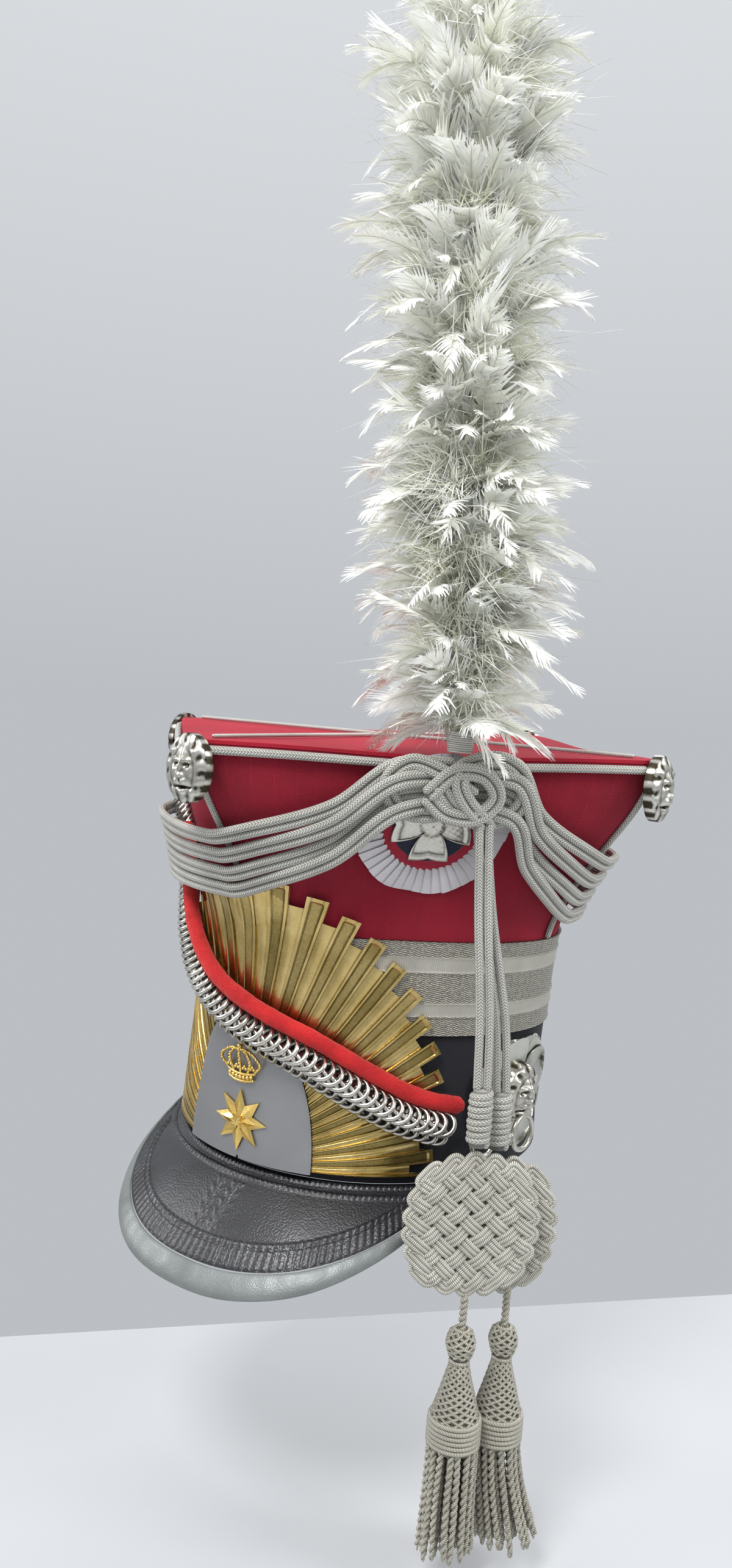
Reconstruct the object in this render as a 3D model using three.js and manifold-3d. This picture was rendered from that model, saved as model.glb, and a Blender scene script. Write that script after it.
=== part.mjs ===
// A lancer's square-topped cap with a plume, cap lines, flounders and tassels.
// Millimetres, +Z up. The origin is the centre of the head opening at the rim, -Y is the front
// and +X the wearer's left. Angles on the body are degrees from the front towards the left.
import * as THREE from 'three';
import { mergeVertices } from 'three/addons/utils/BufferGeometryUtils.js';
import Module from 'manifold-3d';

const wasm = await Module();
wasm.setup();

// Driving dimensions
const GAP = 0.3;
const WALL = 2.2;
const LACE_BOTTOM = 75;
const LACE_TOP = 123;
const TOP_Z = 220;
const TOP_THICK = 2;
const TOP_LEAN = 0.033;
const EDGE_SAG = 2.5;
const MEAN_RADIUS = 99.5;
const FACE_ANGLE = 45;
const CORNERS = { front: 0, left: 90, back: 180, right: 270 };

// Body sections: height, radius at the middle of a face, squareness exponent, share of ovality
const SECTIONS = [
  { z: 0, face: 101.0, square: 2.0, oval: 0.024 },
  { z: 40, face: 98.2, square: 2.2, oval: 0.018 },
  { z: 75, face: 96.5, square: 2.6, oval: 0.012 },
  { z: 123, face: 99.0, square: 2.7, oval: 0.008 },
  { z: 148, face: 102.3, square: 3.4, oval: 0.004 },
  { z: 174, face: 109.0, square: 5.2, oval: 0.0 },
  { z: 198, face: 115.5, square: 9.0, oval: 0.0 },
  { z: 220, face: 118.0, square: 16.0, oval: 0.0 },
];

// Layers over the body, as distances out from its surface
const LACE = { under: 0.3, over: 1.5 };
const PLATE = { under: 2.5, over: 3.7 };
const CENTRE_PLATE = { under: 4.2, over: 5.6 };
const BADGE = { under: 6.2, over: 9.0 };

// Sunburst plate, unrolled: foot height, rays, ray length at the top and its loss per degree sideways
const SUN = { footZ: 3, rays: 27, topRay: 152.5, lossPerDegree: 0.63, notch: 7 };
const ARCH = { halfWidth: 40, height: 76 };

// Badges on the centre plate: middle heights, the fall of their faces to the rim and the star's radii
const CROWN_BADGE = { z: 53, fall: 1 };
const STAR = { points: 8, tip: 16, notch: 9, z: 23, fall: 2 };

// Crown badge outline: angle from its top and radius
const CROWN_OUTLINE = [
  { angle: 0, radius: 12 },
  { angle: 22, radius: 8.5 },
  { angle: 48, radius: 13 },
  { angle: 75, radius: 10 },
  { angle: 118, radius: 12 },
  { angle: 150, radius: 9.6 },
  { angle: 180, radius: 8.8 },
];

// Peak: outer edge as a superellipse in plan, sloping down forwards
const VISOR = { halfWidth: 94.9, depth: 100.9, backY: -47.6, backZ: 0.5, slope: 0.485, power: 2.25 };
const VISOR_THICK = 2.5;
const VISOR_HALF_ANGLE = 62;
const VISOR_BULGE = 4;
const BINDING = { start: 0.845, joint: 0.012, over: 1.0, under: 3.5, thinning: 0.4 };

// Chin chain route: angle, height, and how far the strap's back stands off the body
const CHAIN_ROUTE = [
  { at: 60, z: 30, lift: 6.0 },
  { at: 52, z: 33, lift: 6.0 },
  { at: 44, z: 38, lift: 6.0 },
  { at: 35, z: 46, lift: 6.0 },
  { at: 26, z: 54.5, lift: 6.0 },
  { at: 18, z: 62, lift: 6.0 },
  { at: 9, z: 68.5, lift: 6.0 },
  { at: 0, z: 75, lift: 6.0 },
  { at: -10, z: 83, lift: 6.0 },
  { at: -20, z: 93, lift: 5.2 },
  { at: -32, z: 108, lift: 4.4 },
  { at: -44, z: 126, lift: 3.4 },
  { at: -56, z: 147, lift: 1.4 },
  { at: -68, z: 168, lift: 0.8 },
  { at: -79, z: 186, lift: 0.8 },
];
const STRAP = { halfWidth: 7.5, thick: 1.5 };
const RING = { radius: 6.8, wire: 1.2, pitch: 9.4, tilt: 9, lift: 3.4 };
const ROLL = { radius: 4.2, aside: 12.6, lift: 0.6 };

// Side rosettes with an animal head, and the rings in the mouths
const ROSETTE = { at: 86, z: 41.5, petals: 8, petalTip: 32, petalNotch: 25, petalBack: 0.5, petalFace: 2 };
const HEAD = { radius: 14, height: 11 };
const MOUTH_RING = { radius: 9, wire: 1.4, below: 20.5, lift: 10.2 };
const END_RING = { radius: 7, wire: 1.3 };
const BARREL = { radius: 3, length: 10 };

// Share by which the hook's parts close up, as distances along the body grow with the stand-off
const HOOK_SPACING = 0.9;
const CORNER_HOOK = { wire: 1.1, aside: 8, z: 200 };

// Domes fall to a low step at the rim
const DOME_EDGE = 0.99;

// Corner bosses
const BOSS = { halfWidth: 13, halfHeight: 16.5, rim: 2, dome: 10, z: 208, lift: 0.6 };

// Cockade on the left front face, its middle height and its lean onto the top's edge cord
const COCKADE = { along: 2, z: 186, radius: 37, disc: 24, thick: 1.8, foot: 0.5, lean: 4.9 / 74 };
const CROSS = { arm: 21, notch: 17.5, throat: 6.5, halfArm: 27, face: 4.2 };

// Cords: radii and stand-off of their centre lines
const EDGE_CORD = { radius: 2.0, lift: 2.7, below: 3, cornerMargin: 7 };
const SEAM_CORD = { radius: 1.5, lift: 2.4, top: 206, foot: LACE_TOP + 2, frontFoot: 157 };
const TOP_CORD = { radius: 1.0, reach: 140 };
const LINE = { lift: 8.3, half: 2.2, halfWidth: 4.2, knotLift: 13.5, knotLiftOver: 18.5, knotEdge: 33 };
const LINE_HUMP = { at: -54, rise: 10.6, spread: 30 };

// Lines bend close to each corner, at these angles from it, and narrow at their ends by these shares
const LINE_BENDS = [-30, -12, -4, 0, 4, 12, 30];
const NARROWED = [0.5, 0.6, 0.85];

// Lines between the knot and the corners: angle, share of the height, stand-off as the knot's or the lines'
const FROM_KNOT = [{ at: 24, down: 0.55, ofKnot: 0.8 }, { at: 9, down: 0.86, ofLine: 1.1 }];
const TO_KNOT = [{ at: 81, up: 0.14, ofLine: 1.1 }, { at: 68, up: 0.5, ofKnot: 0.8 }];

// Knot in front of the cockade, and its foot, where the hanging cords start
const KNOT = { along: 8, z: 206, halfWidth: 30, halfHeight: 18, under: 10, rim: 3, dome: 8 };
const KNOT_FOOT = { z: 185.7, along: 24, out: 131, spacing: 4.7 };

// Double cap lines: height at the knot's left, the front corner, the back, the left corner, the knot's right
const CAP_LINES = [
  { left: 219, front: 172, back: 168, side: 167, right: 219 },
  { left: 211, front: 162, back: 158, side: 157, right: 211 },
  { left: 203, front: 152, back: 148, side: 147, right: 203 },
  { left: 195, front: 143, back: 138, side: 137, right: 195 },
];

// Plume, standing on the middle of the left front edge
const PLUME = { along: 10, out: 127, foot: 230, top: 592, leanAlong: -22, leanOut: -4 };
const SOCKET = { radius: 5.5, flare: 7.5, foot: 219.1, below: 0.8 };

// Plume outline: share of the height and radius
const PLUME_OUTLINE = [
  { up: 0.0, radius: 9 },
  { up: 0.04, radius: 18 },
  { up: 0.12, radius: 35 },
  { up: 0.3, radius: 52 },
  { up: 0.5, radius: 58 },
  { up: 0.72, radius: 58 },
  { up: 0.87, radius: 50 },
  { up: 0.96, radius: 30 },
  { up: 1.0, radius: 6 },
];

// Hanging ends, placed along the left front face and out from the middle of the cap
const DROP_CORD_RADIUS = 2.1;

// Bends of the hanging cords: shares of the way across and down
const DROP_BENDS = [{ across: 0.3, down: 0.32 }, { across: 0.85, down: 0.75 }];
const SLIDE = { radius: 5.8, top: 60, bottom: 31.5, shoulder: 3, rounding: 1 };
const FLOUNDER = { halfWidth: 35, halfHeight: 36.5, half: 4, thinning: 0.5, scallops: 14, scallop: 0.045 };
const HANGS = [
  { along: 33, out: 133, drop: 0, tasselAlong: 33, tasselOut: 133, tasselTop: -45.5 },
  { along: 46, out: 122, drop: 5, tasselAlong: 58, tasselOut: 121, tasselTop: -41.3 },
];
const FLOUNDER_Z = -7;

// Tassel outline: height above the hanging point's foot level and radius
const TASSEL_OUTLINE = [
  { z: -58, radius: 2.0 },
  { z: -60, radius: 5.5 },
  { z: -65.5, radius: 7.2 },
  { z: -71, radius: 5.5 },
  { z: -75, radius: 4.2 },
  { z: -84, radius: 6.5 },
  { z: -101, radius: 11.3 },
  { z: -103, radius: 13.4 },
  { z: -115, radius: 13.4 },
  { z: -117, radius: 12.2 },
  { z: -171, radius: 12.8 },
];

// Steps of the meshes
const BODY_COLUMNS = 32;
const CROWN_COLUMNS = 40;
const EDGE_STEPS = 10;
const SEAM_STEPS = 7;
const VISOR_COLUMNS = 24;
const ROUTE_STEPS = 28;
const CHAIN_STEPS = 60;
const ROSETTE_RINGS = 4;
const COCKADE_COLUMNS = 36;

// Finishes
function finish(color, roughness, metalness) {
  return new THREE.MeshStandardMaterial({ color, roughness, metalness });
}
const blackCloth = finish(0x15141a, 0.95, 0);
const crimsonCloth = finish(0x9c1730, 0.95, 0);
const silverLace = finish(0xa9a79e, 0.6, 0.5);
const silverCord = finish(0xb4b1a6, 0.75, 0.2);
const silverMetal = finish(0xb6b1a4, 0.35, 1);
const brass = finish(0xc39a3e, 0.3, 1);
const blackLeather = finish(0x121112, 0.35, 0);
const silverLeather = finish(0x9d9b95, 0.45, 0.3);
const redFelt = finish(0xa31f33, 0.95, 0);
const whiteRibbon = finish(0xe6e3da, 0.8, 0);
const feather = finish(0xe8e3cc, 0.9, 0);

const hat = new THREE.Group();

function add(name, geometry, material) {
  const mesh = new THREE.Mesh(geometry, material);
  mesh.name = name;
  hat.add(mesh);
  return mesh;
}

const { degToRad: radians, lerp } = THREE.MathUtils;

// Round dome by share of its radius, not quite down to nothing at the rim
const domeAt = (v) => Math.sqrt(1 - DOME_EDGE * v * v);

// Section values at a height, through the table by a cubic with the neighbours' slopes
function sectionAt(z) {
  const last = SECTIONS.length - 1;
  const height = THREE.MathUtils.clamp(z, SECTIONS[0].z, SECTIONS[last].z);
  let k = 0;
  while (k < last - 1 && height > SECTIONS[k + 1].z) k += 1;
  const a = SECTIONS[k];
  const b = SECTIONS[k + 1];
  const before = SECTIONS[Math.max(k - 1, 0)];
  const after = SECTIONS[Math.min(k + 2, last)];
  const span = b.z - a.z;
  const t = (height - a.z) / span;
  const value = (key) => {
    const slopeA = (b[key] - before[key]) / (b.z - before.z) * span;
    const slopeB = (after[key] - a[key]) / (after.z - a.z) * span;
    const h1 = 2 * t ** 3 - 3 * t ** 2 + 1;
    const h2 = t ** 3 - 2 * t ** 2 + t;
    const h3 = t ** 3 - t ** 2;
    return h1 * a[key] + h2 * slopeA + (1 - h1) * b[key] + h3 * slopeB;
  };
  return { face: value('face'), square: value('square'), oval: value('oval') };
}

// Point on the body at an angle and a height, moved out from the surface
function bodyPoint(at, z, out = 0) {
  const { face, square, oval } = sectionAt(z);
  const angle = radians(at);
  const c = Math.abs(Math.cos(angle - Math.PI / 4));
  const s = Math.abs(Math.sin(angle - Math.PI / 4));
  const r = face / (c ** square + s ** square) ** (1 / square) + out;
  const x = r * Math.sin(angle) * (1 - oval);
  const y = -r * Math.cos(angle) * (1 + oval);
  const share = THREE.MathUtils.clamp((z - LACE_TOP) / (TOP_Z - LACE_TOP), 0, 1);
  const faceness = (c * c - s * s) ** 2;
  return new THREE.Vector3(x, y, z + share * (TOP_LEAN * y - EDGE_SAG * faceness));
}

// Outward direction of the body's surface
function bodyNormal(at, z) {
  const around = bodyPoint(at + 1, z).sub(bodyPoint(at - 1, z));
  const upward = bodyPoint(at, z + 1).sub(bodyPoint(at, z - 1));
  return around.cross(upward).normalize();
}

// Point on the round body from a distance along it, starting at the front
const onBody = (along, z, out) => bodyPoint(THREE.MathUtils.radToDeg(along / MEAN_RADIUS), z, out);

// Angle, and point, on the left front face from a distance along it, starting at the face's middle
const faceAngle = (along, z) => FACE_ANGLE + THREE.MathUtils.radToDeg(Math.atan2(along, sectionAt(z).face));
const onFace = (along, z, out) => bodyPoint(faceAngle(along, z), z, out);

// Point hanging beside the left front face, clear of the body
function besideFace(along, out, z) {
  const share = Math.SQRT1_2;
  return new THREE.Vector3((out + along) * share, (along - out) * share, z);
}

// Closed mesh from points and triangles, with equal points joined and faces turned out
function closedMesh(points, triangles) {
  const keys = new Map();
  const unique = [];
  const index = points.map((p) => {
    const key = `${p.x.toFixed(4)},${p.y.toFixed(4)},${p.z.toFixed(4)}`;
    if (!keys.has(key)) {
      keys.set(key, unique.length);
      unique.push(p);
    }
    return keys.get(key);
  });
  const kept = [];
  let volume = 0;
  for (const triangle of triangles) {
    const [a, b, c] = triangle.map((i) => index[i]);
    if (a === b || b === c || c === a) continue;
    kept.push([a, b, c]);
    volume += unique[a].dot(new THREE.Vector3().crossVectors(unique[b], unique[c]));
  }
  const order = kept.map(([a, b, c]) => (volume > 0 ? [a, b, c] : [a, c, b]));
  const geometry = new THREE.BufferGeometry().setFromPoints(unique);
  geometry.setIndex(order.flat());
  return geometry;
}

// Solid between two sheets of points on one grid, whose columns may go all the way round
function slab(columns, rows, outer, inner, wraps = false) {
  const points = [];
  for (const sheet of [outer, inner]) {
    for (let i = 0; i <= columns; i += 1) {
      for (let j = 0; j <= rows; j += 1) points.push(sheet(i / columns, j / rows));
    }
  }
  const at = (sheet, i, j) => sheet * (columns + 1) * (rows + 1) + (wraps ? i % columns : i) * (rows + 1) + j;
  const triangles = [];
  const quad = (a, b, c, d) => triangles.push([a, b, c], [a, c, d]);
  for (let i = 0; i < columns; i += 1) {
    for (let j = 0; j < rows; j += 1) {
      quad(at(0, i, j), at(0, i + 1, j), at(0, i + 1, j + 1), at(0, i, j + 1));
      quad(at(1, i, j), at(1, i, j + 1), at(1, i + 1, j + 1), at(1, i + 1, j));
    }
    quad(at(0, i, 0), at(1, i, 0), at(1, i + 1, 0), at(0, i + 1, 0));
    quad(at(0, i, rows), at(0, i + 1, rows), at(1, i + 1, rows), at(1, i, rows));
  }
  for (let j = 0; j < rows && !wraps; j += 1) {
    quad(at(0, 0, j), at(0, 0, j + 1), at(1, 0, j + 1), at(1, 0, j));
    quad(at(0, columns, j), at(1, columns, j), at(1, columns, j + 1), at(0, columns, j + 1));
  }
  return closedMesh(points, triangles);
}

// Solid plaque in polar form on a surface: radius by angle, and its back and face by share of the radius
function plaque({ place, spokes, rings, radius, under, over, start = 0, sweep = 360 }) {
  const sheet = (height) => (u, v) => {
    const angle = start + sweep * u;
    const r = radius(angle) * v;
    const turn = radians(angle);
    return place(r * Math.sin(turn), r * Math.cos(turn), height(v, angle));
  };
  return slab(spokes, rings, sheet(over), sheet(under), sweep === 360);
}

// Solid swept along points with a section given across and out from the body's axis
function sweptBand(points, outs, halfAcross, halfOut, sides) {
  const rings = points.map((p, i) => {
    const before = points[Math.max(i - 1, 0)];
    const after = points[Math.min(i + 1, points.length - 1)];
    const along = after.clone().sub(before).normalize();
    const across = new THREE.Vector3().crossVectors(along, outs[i]).normalize();
    const out = new THREE.Vector3().crossVectors(across, along).normalize();
    const width = typeof halfAcross === 'function' ? halfAcross(i) : halfAcross;
    return Array.from({ length: sides }, (_, k) => {
      const turn = (k + 0.5) / sides * Math.PI * 2;
      return p.clone()
        .addScaledVector(across, width * Math.cos(turn))
        .addScaledVector(out, halfOut * Math.sin(turn));
    });
  });
  const all = rings.flat();
  const triangles = [];
  const at = (i, k) => i * sides + k % sides;
  for (let i = 0; i + 1 < rings.length; i += 1) {
    for (let k = 0; k < sides; k += 1) {
      triangles.push([at(i, k), at(i + 1, k), at(i + 1, k + 1)], [at(i, k), at(i + 1, k + 1), at(i, k + 1)]);
    }
  }
  const end = rings.length - 1;
  for (let k = 1; k + 1 < sides; k += 1) {
    triangles.push([at(0, 0), at(0, k), at(0, k + 1)], [at(end, 0), at(end, k + 1), at(end, k)]);
  }
  return closedMesh(all, triangles);
}

// Round cord through points
function cord(points, radius, steps, sides = 8) {
  const shape = new THREE.Shape(Array.from({ length: sides }, (_, k) => {
    const turn = k / sides * Math.PI * 2;
    return new THREE.Vector2(radius * Math.cos(turn), radius * Math.sin(turn));
  }));
  const path = new THREE.CatmullRomCurve3(points, false, 'centripetal');
  return new THREE.ExtrudeGeometry(shape, { steps, extrudePath: path, bevelEnabled: false });
}

// Turned piece about +Z from an outline of radii and heights
function turned(outline, segments) {
  const ends = [outline[0], outline[outline.length - 1]].map((p) => new THREE.Vector2(0, p.z));
  const sides = outline.map((p) => new THREE.Vector2(p.radius, p.z));
  const profile = [ends[0], ...sides, ends[1]];
  const geometry = new THREE.LatheGeometry(profile, segments);
  geometry.rotateX(Math.PI / 2);
  const points = [];
  const position = geometry.getAttribute('position');
  for (let i = 0; i < position.count; i += 1) {
    points.push(new THREE.Vector3().fromBufferAttribute(position, i));
  }
  const triangles = [];
  const index = geometry.getIndex();
  for (let i = 0; i < index.count; i += 3) {
    triangles.push([index.getX(i), index.getX(i + 1), index.getX(i + 2)]);
  }
  return closedMesh(points, triangles);
}

function toManifold(geometry) {
  const bare = geometry.clone();
  bare.deleteAttribute('normal');
  bare.deleteAttribute('uv');
  const merged = mergeVertices(bare, 1e-4);
  const vertProperties = new Float32Array(merged.getAttribute('position').array);
  const triVerts = new Uint32Array(merged.getIndex().array);
  return new wasm.Manifold(new wasm.Mesh({ numProp: 3, vertProperties, triVerts }));
}

function fromManifold(solid) {
  const { vertProperties, triVerts } = solid.getMesh();
  const geometry = new THREE.BufferGeometry();
  geometry.setAttribute('position', new THREE.BufferAttribute(vertProperties, 3));
  geometry.setIndex(new THREE.BufferAttribute(triVerts, 1));
  return geometry;
}

// Cloth body
const wallBetween = (foot, top, columns, rows, under, over) => slab(columns, rows,
  (u, v) => bodyPoint(360 * u, lerp(foot, top, v), over),
  (u, v) => bodyPoint(360 * u, lerp(foot, top, v), under), true);
add('skull', wallBetween(0, LACE_TOP, BODY_COLUMNS, 5, -WALL, 0), blackCloth);
add('lace_band', wallBetween(LACE_BOTTOM, LACE_TOP, BODY_COLUMNS, 2, LACE.under, LACE.over), silverLace);
add('crown', wallBetween(LACE_TOP + GAP, TOP_Z - GAP, CROWN_COLUMNS, 6, -WALL, 0), crimsonCloth);

// Square top, a shallow sheet from its middle out to the edge
const topPoint = (u, v, z) => {
  const edge = bodyPoint(360 * u, z, 0);
  return new THREE.Vector3(0, 0, z).lerp(edge, v);
};
add('crown_top', slab(CROWN_COLUMNS, 1, (u, v) => topPoint(u, v, TOP_Z + TOP_THICK),
  (u, v) => topPoint(u, v, TOP_Z), true), crimsonCloth);

// Cords on the top's edges, corner seams and diagonals
for (const [corner, at] of Object.entries(CORNERS)) {
  const edge = Array.from({ length: EDGE_STEPS + 1 }, (_, i) => {
    const from = at + EDGE_CORD.cornerMargin;
    const to = at + 90 - EDGE_CORD.cornerMargin;
    return bodyPoint(lerp(from, to, i / EDGE_STEPS), TOP_Z - EDGE_CORD.below, EDGE_CORD.lift);
  });
  add(`edge_cord_${corner}`, cord(edge, EDGE_CORD.radius, EDGE_STEPS, 6), silverCord);
  const foot = corner === 'front' ? SEAM_CORD.frontFoot : SEAM_CORD.foot;
  const seam = Array.from({ length: SEAM_STEPS + 1 }, (_, i) => {
    const z = lerp(foot, SEAM_CORD.top, i / SEAM_STEPS);
    return bodyPoint(at, z, SEAM_CORD.lift);
  });
  add(`seam_cord_${corner}`, cord(seam, SEAM_CORD.radius, SEAM_STEPS, 6), silverCord);
}
const onTop = (x, y) => {
  const lift = TOP_Z + TOP_THICK + GAP + TOP_CORD.radius;
  return new THREE.Vector3(x, y, lift + TOP_LEAN * y);
};
const side = TOP_CORD.radius * 2 + GAP;
const topCord = (from, to) => cord([onTop(...from), onTop(...to)], TOP_CORD.radius, 2, 6);
const { reach } = TOP_CORD;
add('top_cord_long', topCord([0, -reach], [0, reach]), silverCord);
add('top_cord_left', topCord([side, 0], [reach, 0]), silverCord);
add('top_cord_right', topCord([-side, 0], [-reach, 0]), silverCord);

// Corner bosses: oval domes facing outwards
for (const [corner, at] of Object.entries(CORNERS)) {
  const turn = radians(at);
  const outward = new THREE.Vector3(Math.sin(turn), -Math.cos(turn), 0);
  const sideways = new THREE.Vector3(Math.cos(turn), Math.sin(turn), 0);
  const seat = bodyPoint(at, TOP_Z, BOSS.lift);
  seat.z = BOSS.z + TOP_LEAN * seat.y;
  const place = (across, up, out) => seat.clone()
    .addScaledVector(sideways, across * BOSS.halfWidth)
    .addScaledVector(outward, out)
    .add(new THREE.Vector3(0, 0, up * BOSS.halfHeight));
  add(`corner_boss_${corner}`, plaque({
    place, spokes: 14, rings: 3, radius: () => 1,
    under: () => 0, over: (v) => BOSS.rim + BOSS.dome * domeAt(v),
  }), silverMetal);
}

// Sunburst plate, with notches between its rays
const raySpan = 180 / (SUN.rays - 1);
const rayLength = (angle) => {
  const step = Math.abs(angle) / raySpan;
  const betweenRays = Math.abs(step - Math.round(step)) * 2;
  return SUN.topRay - SUN.lossPerDegree * Math.abs(angle) - SUN.notch * betweenRays;
};
add('front_plate', plaque({
  place: (along, up, out) => onBody(along, SUN.footZ + up, out),
  spokes: (SUN.rays - 1) * 2, rings: 4, radius: rayLength, start: -90, sweep: 180,
  under: () => PLATE.under, over: () => PLATE.over,
}), brass);
add('centre_plate', plaque({
  place: (along, up, out) => onBody(along * ARCH.halfWidth, SUN.footZ + up * ARCH.height, out),
  spokes: 16, rings: 3, radius: () => 1, start: -90, sweep: 180,
  under: () => CENTRE_PLATE.under, over: () => CENTRE_PLATE.over,
}), silverMetal);

const crownRadius = (angle) => {
  const a = angle > 180 ? 360 - angle : angle;
  const k = CROWN_OUTLINE.findIndex((p, i) => i > 0 && a <= p.angle);
  const [p, q] = [CROWN_OUTLINE[k - 1], CROWN_OUTLINE[k]];
  return THREE.MathUtils.mapLinear(a, p.angle, q.angle, p.radius, q.radius);
};
add('crown_badge', plaque({
  place: (along, up, out) => onBody(along, CROWN_BADGE.z + up, out),
  spokes: 24, rings: 1, radius: crownRadius, under: () => BADGE.under,
  over: (v) => BADGE.over - CROWN_BADGE.fall * v,
}), brass);
const starRadius = (angle) => {
  const step = angle / 360 * STAR.points;
  return lerp(STAR.tip, STAR.notch, Math.abs(step - Math.round(step)) * 2);
};
add('star_badge', plaque({
  place: (along, up, out) => onBody(along, STAR.z + up, out),
  spokes: STAR.points * 2, rings: 1, radius: starRadius, under: () => BADGE.under,
  over: (v) => BADGE.over - STAR.fall * v,
}), brass);

// Peak and its binding, ruled from the rim to the outer edge
const visorEdge = (u) => {
  const turn = radians(90 * (2 * u - 1));
  const power = 2 / VISOR.power;
  const x = VISOR.halfWidth * Math.sign(turn) * Math.abs(Math.sin(turn)) ** power;
  const y = VISOR.backY - VISOR.depth * Math.abs(Math.cos(turn)) ** power;
  return new THREE.Vector3(x, y, VISOR.backZ + VISOR.slope * (y - VISOR.backY));
};
const visorPoint = (u, share, drop) => {
  const rim = bodyPoint(VISOR_HALF_ANGLE * (2 * u - 1), 0, -WALL / 2);
  rim.z = -2 * GAP;
  const point = rim.lerp(visorEdge(u), share);
  const bulge = VISOR_BULGE * 4 * share * (1 - share) * Math.sin(Math.PI * u);
  point.z += bulge * (share > 0 ? 1 : 0) - drop;
  return point;
};
const visorEnd = BINDING.start - BINDING.joint;
add('visor', slab(VISOR_COLUMNS, 4, (u, v) => visorPoint(u, v * visorEnd, 0),
  (u, v) => visorPoint(u, v * visorEnd, VISOR_THICK), false), blackLeather);
const bindingShare = (v) => lerp(BINDING.start, 1, v);
add('visor_binding', slab(VISOR_COLUMNS, 2,
  (u, v) => visorPoint(u, bindingShare(v), -BINDING.over * (1 - v * v)),
  (u, v) => visorPoint(u, bindingShare(v), BINDING.under * (1 - BINDING.thinning * v * v))), silverLeather);

// Chin chain route as one smooth line of angle, height and stand-off
const routeCurve = new THREE.CatmullRomCurve3(CHAIN_ROUTE.map((p) => new THREE.Vector3(p.at, p.z, p.lift)));
const onRoute = (t, aside, out) => {
  const p = routeCurve.getPoint(t);
  const q = routeCurve.getPoint(Math.min(t + 0.01, 1));
  const o = routeCurve.getPoint(Math.max(t - 0.01, 0));
  const alongMm = (o.x - q.x) * Math.PI / 180 * MEAN_RADIUS;
  const length = Math.hypot(alongMm, q.y - o.y);
  const at = p.x + aside * (q.y - o.y) / length / MEAN_RADIUS * 180 / Math.PI;
  return bodyPoint(at, p.y + aside * alongMm / length, p.z + out);
};
add('chin_strap', slab(ROUTE_STEPS, 1,
  (u, v) => onRoute(u, STRAP.halfWidth * (2 * v - 1), STRAP.thick),
  (u, v) => onRoute(u, STRAP.halfWidth * (2 * v - 1), 0)), blackLeather);
const outFrom = (p) => new THREE.Vector3(p.x, p.y, 0).normalize();
const rollPath = Array.from({ length: ROUTE_STEPS + 1 },
  (_, i) => onRoute(i / ROUTE_STEPS, ROLL.aside, ROLL.radius + ROLL.lift));
add('felt_roll', sweptBand(rollPath, rollPath.map(outFrom), ROLL.radius, ROLL.radius, 6), redFelt);

// Rings of the chain, each tilted over the next
const chainLine = new THREE.CatmullRomCurve3(Array.from({ length: CHAIN_STEPS + 1 },
  (_, i) => onRoute(i / CHAIN_STEPS, 0, STRAP.thick + RING.lift)));
const chainLength = chainLine.getLength();
const ringCount = Math.round((chainLength - RING.radius * 2) / RING.pitch);
const ringPitch = (chainLength - RING.radius * 2) / ringCount;
let chain = null;
for (let i = 0; i <= ringCount; i += 1) {
  const t = (RING.radius + i * ringPitch) / chainLength;
  const centre = chainLine.getPointAt(t);
  const along = chainLine.getTangentAt(t);
  const across = new THREE.Vector3().crossVectors(outFrom(centre), along).normalize();
  const out = new THREE.Vector3().crossVectors(along, across).normalize();
  const ring = new THREE.TorusGeometry(RING.radius, RING.wire, 3, 8);
  ring.rotateY(radians(RING.tilt));
  ring.applyMatrix4(new THREE.Matrix4().makeBasis(along, across, out).setPosition(centre));
  const solid = toManifold(ring);
  chain = chain ? chain.add(solid) : solid;
}
add('chin_chain', fromManifold(chain), silverMetal);

// Side rosettes, mouth rings and the chain's fastening
const rosetteRadius = (angle) => {
  const step = angle / 360 * ROSETTE.petals;
  return lerp(ROSETTE.petalTip, ROSETTE.petalNotch, Math.abs(step - Math.round(step)) * 2);
};
const rosetteFace = (v) => {
  const ratio = v * ROSETTE.petalTip / HEAD.radius;
  return ROSETTE.petalFace + (ratio < 1 ? HEAD.height * Math.sqrt(1 - ratio * ratio) : 0);
};
const besideRosette = (hand, along, up, out) => onBody(
  hand * radians(ROSETTE.at) * MEAN_RADIUS + along, ROSETTE.z + up, out);
function ringAt(centre, radius, wire, outward) {
  const ring = new THREE.TorusGeometry(radius, wire, 5, 12);
  const up = new THREE.Vector3(0, 0, 1);
  const across = new THREE.Vector3().crossVectors(up, outward).normalize();
  ring.applyMatrix4(new THREE.Matrix4().makeBasis(across, up, outward).setPosition(centre));
  return ring;
}
for (const [name, hand] of [['left', 1], ['right', -1]]) {
  add(`rosette_${name}`, plaque({
    place: (along, up, out) => besideRosette(hand, along, up, out),
    spokes: ROSETTE.petals * 4, rings: ROSETTE_RINGS, radius: rosetteRadius,
    under: () => ROSETTE.petalBack, over: rosetteFace,
  }), silverMetal);
  const centre = besideRosette(hand, 0, -MOUTH_RING.below, MOUTH_RING.lift);
  add(`mouth_ring_${name}`, ringAt(centre, MOUTH_RING.radius, MOUTH_RING.wire, outFrom(centre)), silverMetal);
}
const barrelStart = -(MOUTH_RING.radius + MOUTH_RING.wire + GAP) * HOOK_SPACING;
const barrelEnd = barrelStart - BARREL.length;
const onHook = (along) => besideRosette(1, along, -MOUTH_RING.below, MOUTH_RING.lift);
add('chain_hook', cord([onHook(barrelStart), onHook(barrelEnd)], BARREL.radius, 2), silverMetal);
const endRingCentre = onHook(barrelEnd - (END_RING.radius + END_RING.wire + GAP) * HOOK_SPACING);
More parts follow.
